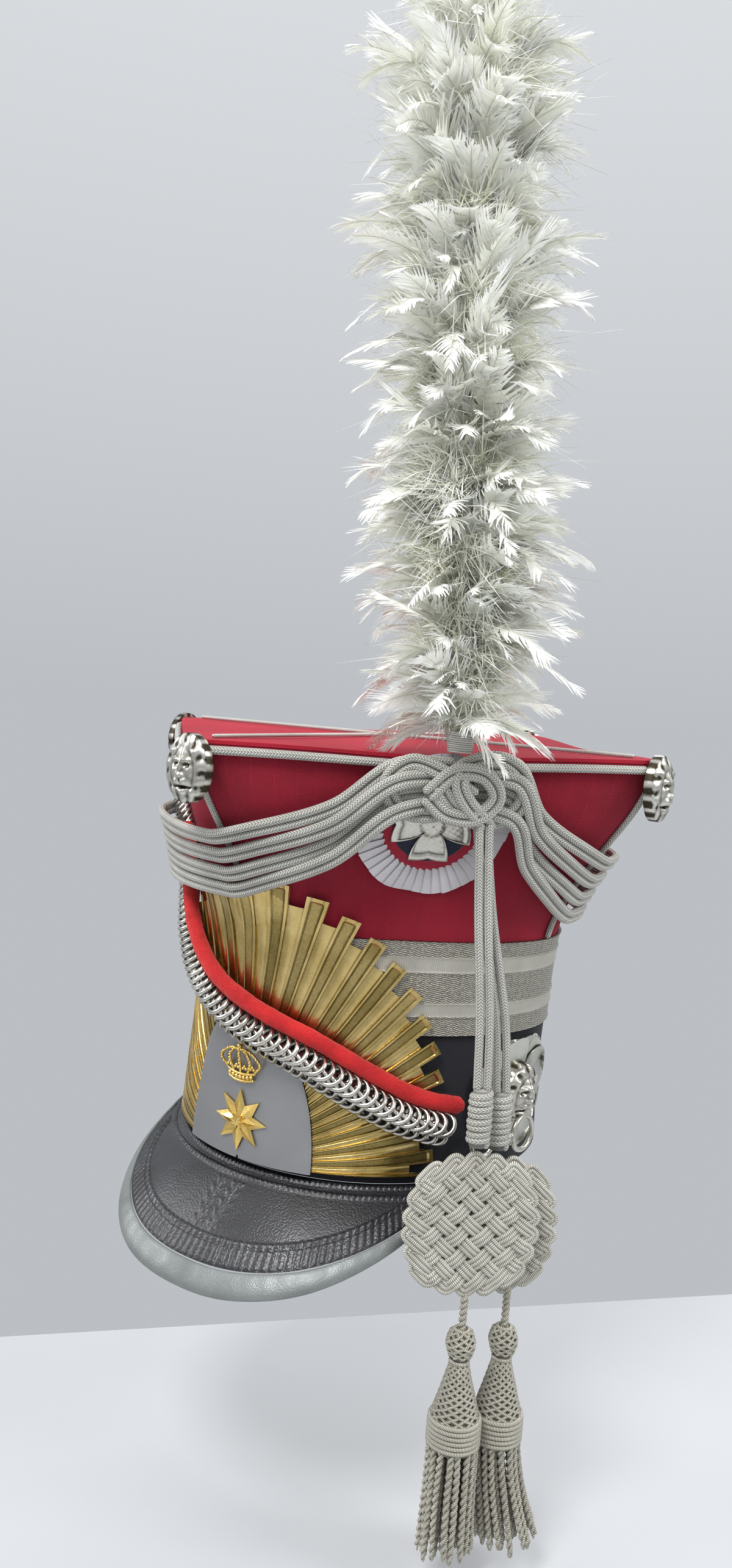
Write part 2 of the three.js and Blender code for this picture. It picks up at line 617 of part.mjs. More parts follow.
const endRing = ringAt(endRingCentre, END_RING.radius, END_RING.wire, outFrom(endRingCentre));
add('chain_end_ring', endRing, silverMetal);
const hookClearance = RING.wire + CORNER_HOOK.wire + GAP;
const hookStart = chainLine.getPointAt(1).addScaledVector(chainLine.getTangentAt(1), hookClearance);
const hookSeat = bodyPoint(CORNERS.right, TOP_Z, BOSS.lift - CORNER_HOOK.wire - GAP);
const hookEnd = new THREE.Vector3(hookSeat.x, hookSeat.y - CORNER_HOOK.aside, CORNER_HOOK.z);
add('chain_corner_hook', cord([hookStart, hookEnd], CORNER_HOOK.wire, 2, 6), silverMetal);

// Cockade, leaning from the face onto the edge cord
const onCockade = (along, up, out) => {
  const z = COCKADE.z + up;
  return onFace(COCKADE.along + along, z, COCKADE.foot + COCKADE.lean * (up + COCKADE.radius) + out);
};
const ribbonSheet = (out) => (u, v) => {
  const r = lerp(COCKADE.disc + GAP, COCKADE.radius, v);
  return onCockade(r * Math.sin(2 * Math.PI * u), r * Math.cos(2 * Math.PI * u), out);
};
const ribbonRing = slab(COCKADE_COLUMNS, 1, ribbonSheet(COCKADE.thick), ribbonSheet(0), true);
add('cockade_ribbon', ribbonRing, whiteRibbon);
add('cockade_disc', plaque({
  place: onCockade, spokes: COCKADE_COLUMNS, rings: 1, radius: () => COCKADE.disc,
  under: () => 0, over: () => COCKADE.thick,
}), redFelt);
const crossRadius = (angle) => {
  const a = Math.abs(((angle + 45) % 90) - 45);
  if (a <= CROSS.halfArm) return THREE.MathUtils.mapLinear(a, 0, CROSS.halfArm, CROSS.notch, CROSS.arm);
  return THREE.MathUtils.mapLinear(a, CROSS.halfArm, 45, CROSS.arm, CROSS.throat);
};
add('cockade_cross', plaque({
  place: onCockade, spokes: 40, rings: 1, radius: crossRadius,
  under: () => COCKADE.thick + GAP, over: () => CROSS.face,
}), silverMetal);

// Plume on its socket
const plumeFoot = besideFace(PLUME.along, PLUME.out, PLUME.foot);
const plumeAxis = besideFace(PLUME.leanAlong, PLUME.leanOut, PLUME.top - PLUME.foot);
const plumeLength = plumeAxis.length();
const plumeOutline = PLUME_OUTLINE.map((p) => ({ z: p.up * plumeLength, radius: p.radius }));
const plume = add('plume', turned(plumeOutline, 16), feather);
plume.position.copy(plumeFoot);
plume.quaternion.setFromUnitVectors(new THREE.Vector3(0, 0, 1), plumeAxis.clone().normalize());
const socket = add('plume_socket', turned([
  { z: 0, radius: SOCKET.radius },
  { z: PLUME.foot - SOCKET.foot - SOCKET.below, radius: SOCKET.flare },
], 12), feather);
socket.position.copy(besideFace(PLUME.along, PLUME.out, SOCKET.foot));

// Knot of the cap lines in front of the cockade
add('line_knot', plaque({
  place: (along, up, out) => onFace(KNOT.along + along * KNOT.halfWidth, KNOT.z + up * KNOT.halfHeight, out),
  spokes: 20, rings: 3, radius: () => 1, under: () => KNOT.under,
  over: (v) => KNOT.under + KNOT.rim + KNOT.dome * domeAt(v),
}), silverCord);

// Double cap lines, from the knot round the crown and back to the knot
const humpAt = (at) => LINE_HUMP.rise * Math.exp(-(((at - LINE_HUMP.at) / LINE_HUMP.spread) ** 2));
CAP_LINES.forEach((line, number) => {
  const knotLift = number % 2 ? LINE.knotLiftOver : LINE.knotLift;
  const standOff = (p) => (p.ofKnot ? knotLift * p.ofKnot : LINE.lift * p.ofLine);
  const stops = [line.front, line.back, line.back, line.side];
  const angles = stops.flatMap((_, k) => LINE_BENDS.map((bend) => -90 * k + -bend));
  const onCrown = angles.filter((at) => at <= 0 && at >= -270).map((at) => {
    const k = Math.min(Math.floor(-at / 90), stops.length - 2);
    return { at, z: lerp(stops[k], stops[k + 1], -at / 90 - k), out: LINE.lift + humpAt(at) };
  });
  const route = [
    { at: faceAngle(KNOT.along - LINE.knotEdge, line.left), z: line.left, out: knotLift },
    ...FROM_KNOT.map((p) => ({ at: p.at, z: lerp(line.left, line.front, p.down), out: standOff(p) })),
    ...onCrown,
    ...TO_KNOT.map((p) => ({ at: p.at, z: lerp(line.side, line.right, p.up), out: standOff(p) })),
    { at: faceAngle(KNOT.along + LINE.knotEdge, line.right), z: line.right, out: knotLift },
  ];
  const points = route.map((p) => bodyPoint(p.at, p.z, p.out));
  const normals = route.map((p) => bodyNormal(p.at, p.z));
  const width = (i) => LINE.halfWidth * (NARROWED[Math.min(i, points.length - 1 - i)] ?? 1);
  add(`cap_line_${number + 1}`, sweptBand(points, normals, width, LINE.half, 6), silverCord);
});

// Hanging ends: two cords to each slide, then a flounder and a tassel
const flounderHalf = (v) => FLOUNDER.half * (1 - FLOUNDER.thinning * v ** 4);
HANGS.forEach((hang, number) => {
  [-1, 1].forEach((hand, k) => {
    const start = besideFace(KNOT_FOOT.along + hand * KNOT_FOOT.spacing / 2,
      KNOT_FOOT.out - number * KNOT_FOOT.spacing, KNOT_FOOT.z);
    const aside = hand * (DROP_CORD_RADIUS + GAP);
    const end = besideFace(hang.along + aside, hang.out, SLIDE.top - hang.drop + GAP);
    const bends = DROP_BENDS.map((bend) => start.clone().lerp(end, bend.across)
      .setZ(lerp(start.z, end.z, bend.down)));
    add(`drop_cord_${number * 2 + k + 1}`, cord([start, ...bends, end], DROP_CORD_RADIUS, 10), silverCord);
  });
  const slide = add(`slide_${number + 1}`, turned([
    { z: SLIDE.bottom, radius: SLIDE.radius - SLIDE.rounding },
    { z: SLIDE.bottom + SLIDE.shoulder, radius: SLIDE.radius },
    { z: SLIDE.top - SLIDE.shoulder, radius: SLIDE.radius },
    { z: SLIDE.top, radius: SLIDE.radius - SLIDE.rounding },
  ], 10), silverCord);
  slide.position.copy(besideFace(hang.along, hang.out, -hang.drop));
  const scallop = (angle) => 1 + FLOUNDER.scallop * Math.cos(radians(angle) * FLOUNDER.scallops);
  add(`flounder_${number + 1}`, plaque({
    place: (along, up, out) => besideFace(hang.along + along * FLOUNDER.halfWidth, hang.out + out,
      FLOUNDER_Z - hang.drop + up * FLOUNDER.halfHeight),
    spokes: FLOUNDER.scallops * 2, rings: 2, radius: scallop,
    under: (v) => -flounderHalf(v), over: flounderHalf,
  }), silverCord);
  const outline = [{ z: hang.tasselTop, radius: TASSEL_OUTLINE[0].radius }, ...TASSEL_OUTLINE];
  const tassel = add(`tassel_${number + 1}`, turned(outline, 14), silverCord);
  tassel.position.copy(besideFace(hang.tasselAlong, hang.tasselOut, -hang.drop));
});

export default hat;
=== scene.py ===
"""Looks for a lancer's square-topped cap with a plume, cap lines, flounders and tassels.

Sizes are millimetres in the part's own frame; make() turns them into metres.
"""
import math

import bmesh
import bpy
import numpy as np
from mathutils import Matrix, Vector


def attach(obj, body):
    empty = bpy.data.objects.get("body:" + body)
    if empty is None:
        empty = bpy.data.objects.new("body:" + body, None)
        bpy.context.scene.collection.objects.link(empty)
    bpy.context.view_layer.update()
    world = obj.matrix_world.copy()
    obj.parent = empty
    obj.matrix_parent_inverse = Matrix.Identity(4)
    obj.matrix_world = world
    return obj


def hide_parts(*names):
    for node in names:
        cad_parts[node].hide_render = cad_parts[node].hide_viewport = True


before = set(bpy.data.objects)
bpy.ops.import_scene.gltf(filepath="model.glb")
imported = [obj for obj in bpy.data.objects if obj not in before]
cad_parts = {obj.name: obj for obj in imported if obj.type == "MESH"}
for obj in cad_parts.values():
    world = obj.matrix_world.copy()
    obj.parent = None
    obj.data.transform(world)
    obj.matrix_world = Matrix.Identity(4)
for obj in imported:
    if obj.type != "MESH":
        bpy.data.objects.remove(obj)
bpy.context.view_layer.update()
MM = 0.001

# Backs of thin pieces keep one row of points in so many
BACK_STEP = 8

# Round ends of a tube: share of its radius, reach past the end in radii
TUBE_ENDS = ((0.05, 0.85), (0.6, 0.55))
UP = np.array([0, 0, 1.0])

# Driving sizes of the part
GAP = 0.3
WALL = 2.2
LACE_BOTTOM, LACE_TOP = 75, 123
TOP_Z, TOP_THICK, TOP_LEAN, EDGE_SAG = 220, 2, 0.033, 2.5
MEAN_RADIUS = 99.5
FACE_ANGLE = 45
CORNERS = {"front": 0, "left": 90, "back": 180, "right": 270}

# Body sections: height, radius at the middle of a face, squareness, ovality
SECTIONS = np.array([
    (0, 101.0, 2.0, 0.024),
    (40, 98.2, 2.2, 0.018),
    (75, 96.5, 2.6, 0.012),
    (123, 99.0, 2.7, 0.008),
    (148, 102.3, 3.4, 0.004),
    (174, 109.0, 5.2, 0.0),
    (198, 115.5, 9.0, 0.0),
    (220, 118.0, 16.0, 0.0),
])

SUN = {"foot": 3, "rays": 27, "top": 152.5, "loss": 0.63, "notch": 9.5}
VISOR = {"half": 94.9, "depth": 100.9, "back_y": -47.6, "back_z": 0.5, "slope": 0.485, "power": 2.25}
VISOR_THICK, VISOR_ANGLE, VISOR_BULGE, BINDING_START = 2.5, 62, 4, 0.845

# Chin chain route: angle, height, stand-off of the strap's back
CHAIN_ROUTE = np.array([
    (60, 30, 6.0), (52, 33, 6.0), (44, 38, 6.0), (35, 46, 6.0), (26, 54.5, 6.0),
    (18, 62, 6.0), (9, 68.5, 6.0), (0, 75, 6.0), (-10, 83, 6.0), (-20, 93, 5.2),
    (-32, 108, 4.4), (-44, 126, 3.4), (-56, 147, 1.4), (-68, 168, 0.8), (-79, 186, 0.8),
])
STRAP_HALF, STRAP_THICK = 7.5, 1.5
ROLL_RADIUS, ROLL_ASIDE, ROLL_END = 4.2, 12.6, 0.88
ROSETTE = {"at": 86, "z": 41.5, "petals": 8, "petal": 13.6, "root": 8, "tip": 32, "head": 14}
MOUTH_RING = {"radius": 9, "wire": 1.4, "below": 20.5, "lift": 10.2}
END_RING = {"radius": 7, "wire": 1.3}
BARREL_LENGTH = 10
BOSS = {"half_width": 13, "half_height": 16.5, "z": 208, "lift": 0.6}
COCKADE = {"along": 2, "z": 186, "radius": 37, "disc": 24, "foot": 0.5, "lean": 4.9 / 74}
COCKADE_BACK, NAVY_RADIUS = 0.1, 18.5
LINE = {"lift": 8.3, "knot": 13.5, "over": 18.5, "edge": 33, "radius": 2.1}
HUMP = {"at": -54, "rise": 10.6, "spread": 30}
KNOT = {"along": 8, "z": 206}

# Double cap lines: height at the knot's left, front corner, back, left corner, knot's right
CAP_LINES = [
    (219, 172, 168, 167, 219),
    (211, 162, 158, 157, 211),
    (203, 152, 148, 147, 203),
    (195, 143, 138, 137, 195),
]
PLUME = {"along": 10, "out": 127, "foot": 230, "top": 592, "lean_along": -22, "lean_out": -4}
PLUME_UP = [0.0, 0.04, 0.12, 0.3, 0.5, 0.72, 0.87, 0.96, 1.0]
PLUME_RADIUS = [18, 36, 50, 55, 57, 58, 56, 44, 22]
DROP_RADIUS = 2.1
KNOT_FOOT = {"z": 185.7, "along": 24, "out": 131, "spacing": 4.7}
SLIDE = {"radius": 5.8, "top": 60, "bottom": 31.5}
FLOUNDER = {"half_width": 35, "half_height": 36.5, "z": -7}
HANGS = [
    {"along": 33, "out": 133, "drop": 0, "t_along": 33, "t_out": 133, "top": -45.5, "splay": 0.0},
    {"along": 46, "out": 122, "drop": 5, "t_along": 58, "t_out": 121, "top": -41.3, "splay": 9.0},
]
TASSEL_Z = [-58, -60, -65.5, -71, -75, -84, -101, -103, -115, -117]
TASSEL_R = [2.0, 5.5, 7.2, 5.5, 4.2, 6.5, 11.3, 13.2, 13.2, 12.0]


# Shape of the body
def floats(*values):
    return np.broadcast_arrays(*(np.asarray(v, float) for v in values))


def section(z):
    """Face radius, squareness and ovality at heights, by a cubic with the neighbours' slopes."""
    last = len(SECTIONS) - 1
    z = np.clip(np.asarray(z, float), SECTIONS[0, 0], SECTIONS[last, 0])
    k = np.searchsorted(SECTIONS[1:last, 0], z, side="left")
    a, b = SECTIONS[k], SECTIONS[k + 1]
    before, after = SECTIONS[np.maximum(k - 1, 0)], SECTIONS[np.minimum(k + 2, last)]
    span = (b[..., :1] - a[..., :1])
    t = (z[..., None] - a[..., :1]) / span
    slope_a = (b - before) / (b[..., :1] - before[..., :1]) * span
    slope_b = (after - a) / (after[..., :1] - a[..., :1]) * span
    h1, h2, h3 = 2 * t**3 - 3 * t**2 + 1, t**3 - 2 * t**2 + t, t**3 - t**2
    value = h1 * a + h2 * slope_a + (1 - h1) * b + h3 * slope_b
    return value[..., 1], value[..., 2], value[..., 3]


def body_point(at, z, out=0.0):
    """Points on the body at angles and heights, moved out from the surface."""
    at, z, out = floats(at, z, out)
    face, square, oval = section(z)
    turn = np.radians(at)
    c, s = np.abs(np.cos(turn - math.pi / 4)), np.abs(np.sin(turn - math.pi / 4))
    r = face / (c**square + s**square) ** (1 / square) + out
    x, y = r * np.sin(turn) * (1 - oval), -r * np.cos(turn) * (1 + oval)
    share = np.clip((z - LACE_TOP) / (TOP_Z - LACE_TOP), 0, 1)
    return np.stack([x, y, z + share * (TOP_LEAN * y - EDGE_SAG * (c * c - s * s) ** 2)], -1)


def unit(v):
    return v / np.maximum(np.linalg.norm(v, axis=-1, keepdims=True), 1e-9)


def body_normal(at, z):
    at, z = np.asarray(at, float), np.asarray(z, float)
    around = body_point(at + 1, z) - body_point(at - 1, z)
    return unit(np.cross(around, body_point(at, z + 1) - body_point(at, z - 1)))


def on_body(along, z, out):
    return body_point(np.degrees(np.asarray(along, float) / MEAN_RADIUS), z, out)


def face_angle(along, z):
    return FACE_ANGLE + np.degrees(np.arctan2(along, section(z)[0]))


def on_face(along, z, out):
    return body_point(face_angle(np.asarray(along, float), z), z, out)


def beside_face(along, out, z):
    along, out, z = floats(along, out, z)
    return np.stack([(out + along) * math.sqrt(0.5), (along - out) * math.sqrt(0.5), z], -1)


def spline(points, count):
    """Points along a centripetal Catmull-Rom line through a few points."""
    p = np.asarray(points, float)
    p = np.vstack([2 * p[0] - p[1], p, 2 * p[-1] - p[-2]])
    t = np.linspace(0, len(p) - 3, count) if np.isscalar(count) else np.asarray(count) * (len(p) - 3)
    k = np.minimum(t.astype(int), len(p) - 4)
    w = (t - k)[:, None]
    a, b, c, d = p[k], p[k + 1], p[k + 2], p[k + 3]
    d0, d1, d2 = (np.maximum(np.linalg.norm(n - m, axis=1, keepdims=True), 1e-6) ** 0.5
                  for m, n in ((a, b), (b, c), (c, d)))
    t1 = ((b - a) / d0 - (c - a) / (d0 + d1) + (c - b) / d1) * d1
    t2 = ((c - b) / d1 - (d - b) / (d1 + d2) + (d - c) / d2) * d1
    h1, h2, h3 = 2 * w**3 - 3 * w**2 + 1, w**3 - 2 * w**2 + w, w**3 - w**2
    return h1 * b + h2 * t1 + (1 - h1) * c + h3 * t2


def lengths(path):
    return np.concatenate([[0], np.cumsum(np.linalg.norm(np.diff(path, axis=0), axis=1))])


def spaced(path, step):
    """The same line with evenly spaced points."""
    along = lengths(path)
    at = np.linspace(0, along[-1], max(3, int(round(along[-1] / step)) + 1))
    return np.stack([np.interp(at, along, path[:, k]) for k in range(3)], 1)


def smooth(x, low, high):
    t = np.clip((x - low) / (high - low), 0, 1)
    return t * t * (3 - 2 * t)


def bell(x, middle, half):
    return np.exp(-(((x - middle) / half) ** 2))


def round_steps(count):
    return np.arange(count) / count * 2 * math.pi


# Mesh gathering
class Piece:
    """Points, quads, flow coordinates and tones of one mesh, in millimetres."""

    def __init__(self):
        self.points, self.quads, self.flow, self.tone, self.count = [], [], [], [], 0

    def grid(self, points, us=None, vs=None, wrap_u=False, wrap_v=False, tone=0.0, flip=False):
        rows, cols = points.shape[:2]
        us = np.arange(rows + 1.0) if us is None else np.asarray(us, float)
        vs = np.arange(cols + 1.0) if vs is None else np.asarray(vs, float)
        across, down = np.arange(rows if wrap_u else rows - 1), np.arange(cols if wrap_v else cols - 1)
        i, j = (m.ravel() for m in np.meshgrid(across, down, indexing="ij"))
        i2, j2 = (i + 1) % rows, (j + 1) % cols
        quads = np.stack([i * cols + j, i2 * cols + j, i2 * cols + j2, i * cols + j2], 1)
        flow = np.stack([np.stack([us[i], us[i + 1], us[i + 1], us[i]], 1),
                         np.stack([vs[j], vs[j], vs[j + 1], vs[j + 1]], 1)], 2)
        if flip:
            quads, flow = quads[:, ::-1], flow[:, ::-1]
        self.points.append(points.reshape(-1, 3))
        self.quads.append(quads + self.count)
        self.flow.append(flow)
        self.tone.append(np.broadcast_to(np.asarray(tone, float), (rows, cols)).ravel())
        self.count += rows * cols

    def slab(self, outer, inner, us=None, vs=None, wrap_u=False, tone=0.0, flip=False):
        """Closed solid between two grids: the coarser inner one comes back under the outer one."""
        last = outer.shape[1] - 1
        kept = np.unique(np.append(np.arange(last, 0, -BACK_STEP), 0))[::-1]
        tones = np.broadcast_to(np.asarray(tone, float), outer.shape[:2])
        vs = np.arange(last + 1) if vs is None else np.asarray(vs, float)
        self.grid(np.concatenate([outer, inner[:, kept]], 1), us, np.concatenate([vs, vs[kept], vs[:1]]),
                  wrap_u, True,
                  np.concatenate([tones, tones[:, kept]], 1), flip)
        if not wrap_u:
            for end, turned_over in ((0, flip), (-1, not flip)):
                cap = np.stack([outer[end], inner[end]], 0)
                self.grid(cap, None, vs, tone=np.stack([tones[end]] * 2, 0), flip=turned_over)

    def relief(self, place, a, b, out, back, wrap_u=True, tone=0.0, **flow):
        """Closed solid on a surface: a face at heights out over a back at one height."""
        self.slab(place(a, b, out), place(a, b, 0 * out + back), wrap_u=wrap_u, tone=tone, flip=True,
                  **flow)

    def tube(self, path, radius, sides=8, out=None, closed=False, tone=0.0, start=0.0):
        """Tube along points, with round ends unless it is closed."""
        path = np.asarray(path, float)
        along = lengths(np.vstack([path, path[:1]]) if closed else path) + start
        if closed:
            ahead = unit(np.roll(path, -1, 0) - np.roll(path, 1, 0))
        else:
            ahead = unit(np.gradient(path, axis=0))
        n = across_of(ahead) if out is None else unit(out - (out * ahead).sum(1, keepdims=True) * ahead)
        b = np.cross(ahead, n)
        radius = np.broadcast_to(np.asarray(radius, float), (len(path),))
        if not closed:
            first = [(path[0] - ahead[0] * radius[0] * r, s * radius[0]) for s, r in TUBE_ENDS]
            last = [(path[-1] + ahead[-1] * radius[-1] * r, s * radius[-1]) for s, r in TUBE_ENDS[::-1]]
            path = np.vstack([[p for p, _ in first], path, [p for p, _ in last]])
            radius = np.concatenate([[r for _, r in first], radius, [r for _, r in last]])
            n = np.vstack([n[:1], n[:1], n, n[-1:], n[-1:]])
            b = np.vstack([b[:1], b[:1], b, b[-1:], b[-1:]])
            along = np.concatenate([[along[0] - 1, along[0] - 0.5], along,
                                    [along[-1] + 0.5, along[-1] + 1]])
            tone = tone if np.ndim(tone) == 0 else np.pad(tone, 2, mode="edge")
        turn = round_steps(sides)
        ring = n[:, None] * np.cos(turn)[None, :, None] + b[:, None] * np.sin(turn)[None, :, None]
        points = path[:, None] + ring * radius[:, None, None]
        tone = tone if np.ndim(tone) == 0 else np.asarray(tone)[:, None]
        self.grid(points, along, np.arange(sides + 1) / sides, closed, True, tone, flip=True)

    def ball(self, centre, radius, sides=10, rows=6, tone=0.0):
        polar = np.linspace(0.06, math.pi - 0.06, rows)[None, :]
        turn = round_steps(sides)[:, None]
        unit_ball = np.stack([np.cos(turn) * np.sin(polar), np.sin(turn) * np.sin(polar),
                              -np.cos(polar) * np.ones_like(turn)], -1)
        self.grid(np.asarray(centre) + unit_ball * radius, wrap_u=True, tone=tone)

    def turned(self, centre, zs, rs, sides=32, tone=0.0):
        turn = round_steps(sides)[:, None]
        zs, rs = np.asarray(zs, float)[None, :], np.asarray(rs, float)[None, :]
        points = np.stack([rs * np.cos(turn), rs * np.sin(turn), zs * np.ones_like(turn)], -1)
        self.grid(points + np.asarray(centre), np.arange(sides + 1) / sides, zs[0], wrap_u=True, tone=tone)


def across_of(ahead):
    """One unit normal for each tangent, carried along with the least turning."""
    start = np.array([0.0, 0, 1]) if abs(ahead[0][2]) < 0.9 else np.array([1.0, 0, 0])
    n = np.empty_like(ahead)
    n[0] = unit(start - ahead[0] * (start @ ahead[0]))
    for k in range(1, len(ahead)):
        v = n[k - 1] - ahead[k] * (n[k - 1] @ ahead[k])
        n[k] = v / max(math.sqrt(v @ v), 1e-9)
    return n


def make(name, piece, material, slot, *nodes, sharp=40, weld=True):
    """Turns a gathered piece into an object in metres that rides on the root body."""
    points = np.concatenate(piece.points) * MM
    quads = np.concatenate(piece.quads)
    mesh = bpy.data.meshes.new(name)
    mesh.vertices.add(len(points))
    mesh.vertices.foreach_set("co", points.astype(np.float32).ravel())
    mesh.loops.add(quads.size)
    mesh.loops.foreach_set("vertex_index", quads.ravel().astype(np.int32))
    mesh.polygons.add(len(quads))
    mesh.polygons.foreach_set("loop_start", np.arange(0, quads.size, 4, dtype=np.int32))
    mesh.update(calc_edges=True)
    flow = mesh.uv_layers.new(name="flow")
    flow.uv.foreach_set("vector", np.concatenate(piece.flow).astype(np.float32).ravel())
    tone = mesh.attributes.new("tone", "FLOAT", "POINT")
    tone.data.foreach_set("value", np.concatenate(piece.tone).astype(np.float32))
    if weld:
        bm = bmesh.new()
        bm.from_mesh(mesh)
        bmesh.ops.remove_doubles(bm, verts=bm.verts, dist=1e-6)
        bm.to_mesh(mesh)
        bm.free()
    mesh.validate()
    mesh.polygons.foreach_set("use_smooth", np.ones(len(mesh.polygons), bool))
    mesh.set_sharp_from_angle(angle=math.radians(sharp))
    mesh.materials.append(material)
    obj = bpy.data.objects.new(name, mesh)
    bpy.context.scene.collection.objects.link(obj)
    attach(obj, "root")
    if nodes:
        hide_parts(*nodes)
    return obj


def make_cord(name, piece, look, node):
    return make(name, piece, look, "silver_cord", node, weld=False, sharp=180)


# Materials
class Look:
    """A material whose nodes are added by short calls that return sockets."""

    def __init__(self, name, **values):
        self.material = bpy.data.materials.new(name)
        self.material.use_nodes = True
        self.tree = self.material.node_tree
        self.shader = self.tree.nodes["Principled BSDF"]
        for key, value in values.items():
            self.shader.inputs[key.replace("_", " ").title().replace("Ior", "IOR")].default_value = value

    def node(self, kind, inputs=(), **settings):
        made = self.tree.nodes.new("ShaderNode" + kind)
        for key, value in settings.items():
            setattr(made, key, value)
        for key, value in dict(inputs).items():
            self.put(made.inputs[key], value)
        return made

    def put(self, socket, value):
        if isinstance(value, bpy.types.NodeSocket):
            self.tree.links.new(value, socket)
        else:
            socket.default_value = value

    def math(self, operation, a, b=0.0):
        return self.node("Math", {0: a, 1: b}, operation=operation).outputs[0]

    def times(self, a, b):
        return self.math("MULTIPLY", a, b)

    def plus(self, a, b):
        return self.math("ADD", a, b)

    def minus(self, a, b):
        return self.math("SUBTRACT", a, b)

    def sine(self, a):
        return self.math("SINE", a)

    def flow(self):
        parts = self.node("SeparateXYZ", {0: self.node("UVMap", uv_map="flow").outputs[0]})
        return parts.outputs[0], parts.outputs[1]

    def tone(self):
        return self.node("Attribute", attribute_name="tone").outputs["Fac"]

    def place(self):
        return self.node("TexCoord").outputs["Object"]

    def noise(self, scale, detail=3.0):
        inputs = {"Vector": self.place(), "Scale": scale, "Detail": detail}
        return self.node("TexNoise", inputs).outputs["Fac"]

    def cells(self, scale):
        return self.node("TexVoronoi", {"Vector": self.place(), "Scale": scale}).outputs["Distance"]

    def mix(self, share, a, b):
        made = self.node("Mix", data_type="RGBA", clamp_factor=True)
        for index, value in ((0, share), (6, a), (7, b)):
            if index and not isinstance(value, bpy.types.NodeSocket):
                value = (*value, 1.0)
            self.put(made.inputs[index], value)
        return made.outputs[2]

    def span(self, value, low, high, to_low=0.0, to_high=1.0):
        return self.node("MapRange", {0: value, 1: low, 2: high, 3: to_low, 4: to_high},
                         clamp=True).outputs[0]

    def bump(self, height, distance, strength=1.0, below=None):
        inputs = {"Height": height, "Distance": distance, "Strength": strength}
        if below is not None:
            inputs["Normal"] = below
        return self.node("Bump", inputs).outputs[0]

    def finish(self, colour=None, roughness=None, normal=None):
        for key, value in (("Base Color", colour), ("Roughness", roughness), ("Normal", normal)):
            if value is not None:
                self.put(self.shader.inputs[key], value)
        return self.material


def cloth(name, dark, light, thread, pressed=0.0, sheen=(1, 1, 1, 1), sheen_weight=0.25):
    look = Look(name, roughness=0.92, sheen_weight=sheen_weight, sheen_roughness=0.4, sheen_tint=sheen)
    u, v = look.flow()
    weft = look.sine(look.times(look.plus(u, v), 2 * math.pi / thread))
    warp = look.sine(look.times(look.minus(u, v), 2 * math.pi / thread))
    weave = look.plus(look.times(weft, warp), look.noise(900, 2))
    blotch = look.span(look.noise(22, 5), 0.3, 0.7)
    fleck = look.span(look.noise(1400, 2), 0.35, 0.75)
    shade = look.plus(look.times(blotch, 0.6), look.times(fleck, 0.4))
    colour = look.mix(shade, dark, light)
    if pressed:
        row = look.math("GREATER_THAN", look.sine(look.times(u, 2 * math.pi / 6.5)), 0.985)
        dot = look.math("GREATER_THAN", look.sine(look.times(v, 2 * math.pi / 1.7)), 0.1)
        colour = look.mix(look.times(look.times(row, dot), pressed), colour,
                          tuple(min(1, c * 2.6 + 0.01) for c in light))
    return look.finish(colour, normal=look.bump(weave, 0.0003, 0.5))


def cord_look(name, light, dark, pitch, lanes=0, metallic=0.2):
    """Thread wound round a cord, or braided in lanes that slant in turn."""
    look = Look(name, metallic=metallic, roughness=0.55, sheen_weight=0.2)
    u, v = look.flow()
    if lanes:
        lane = look.math("PINGPONG", look.times(v, lanes), 1.0)
        slant, edge = lane, look.sine(look.times(lane, math.pi))
    else:
        slant, edge = v, None
    phase = look.plus(look.math("DIVIDE", u, pitch), slant)
    ridge = look.math("ABSOLUTE", look.sine(look.times(phase, math.pi)))
    if edge is not None:
        ridge = look.times(ridge, look.math("POWER", look.plus(edge, 0.05), 0.4))
    grime = look.span(look.noise(60, 4), 0.35, 0.75, 0.78, 1.0)
    # Thread crests take the light colour, while grooves between threads and lanes take the dark one:
    # painted highlight and painted shade, mixed with grime
    painted_ridge_light_and_grime = look.times(look.math("POWER", ridge, 0.7), grime)
    painted_ridge_light_and_grime = look.plus(painted_ridge_light_and_grime, look.times(look.tone(), 0.35))
    return look.finish(look.mix(painted_ridge_light_and_grime, dark, light), normal=look.bump(ridge, 0.0005, 0.9))


def lace_look():
    look = Look("silver_lace", metallic=0.35, roughness=0.42)
    u, v = look.flow()
    zig = look.math("PINGPONG", look.times(u, 0.42), 1.0)
    thread = look.sine(look.times(look.plus(look.times(v, 1.15), zig), 5.2))
    glint = look.times(look.span(thread, -0.6, 0.8), look.span(look.noise(1100, 2), 0.3, 0.68))
    rib = look.math("ABSOLUTE", look.sine(look.times(u, 3.4)))
    plain = look.tone()
    height = look.node("Mix", {0: plain, 2: glint, 3: look.times(rib, 0.25)}, data_type="FLOAT").outputs[0]
    # Woven zones go from near-black in the gaps between threads to bright on sparkling threads: painted
    # shade and painted glints. Satin stripes are lighter on their rib crests: painted sheen
    woven = look.mix(glint, (0.16, 0.15, 0.12), (0.74, 0.72, 0.64))
    satin = look.mix(look.times(rib, look.noise(90, 3)), (0.36, 0.345, 0.30), (0.62, 0.60, 0.53))
    return look.finish(look.mix(plain, woven, satin), normal=look.bump(height, 0.0006, 0.9))


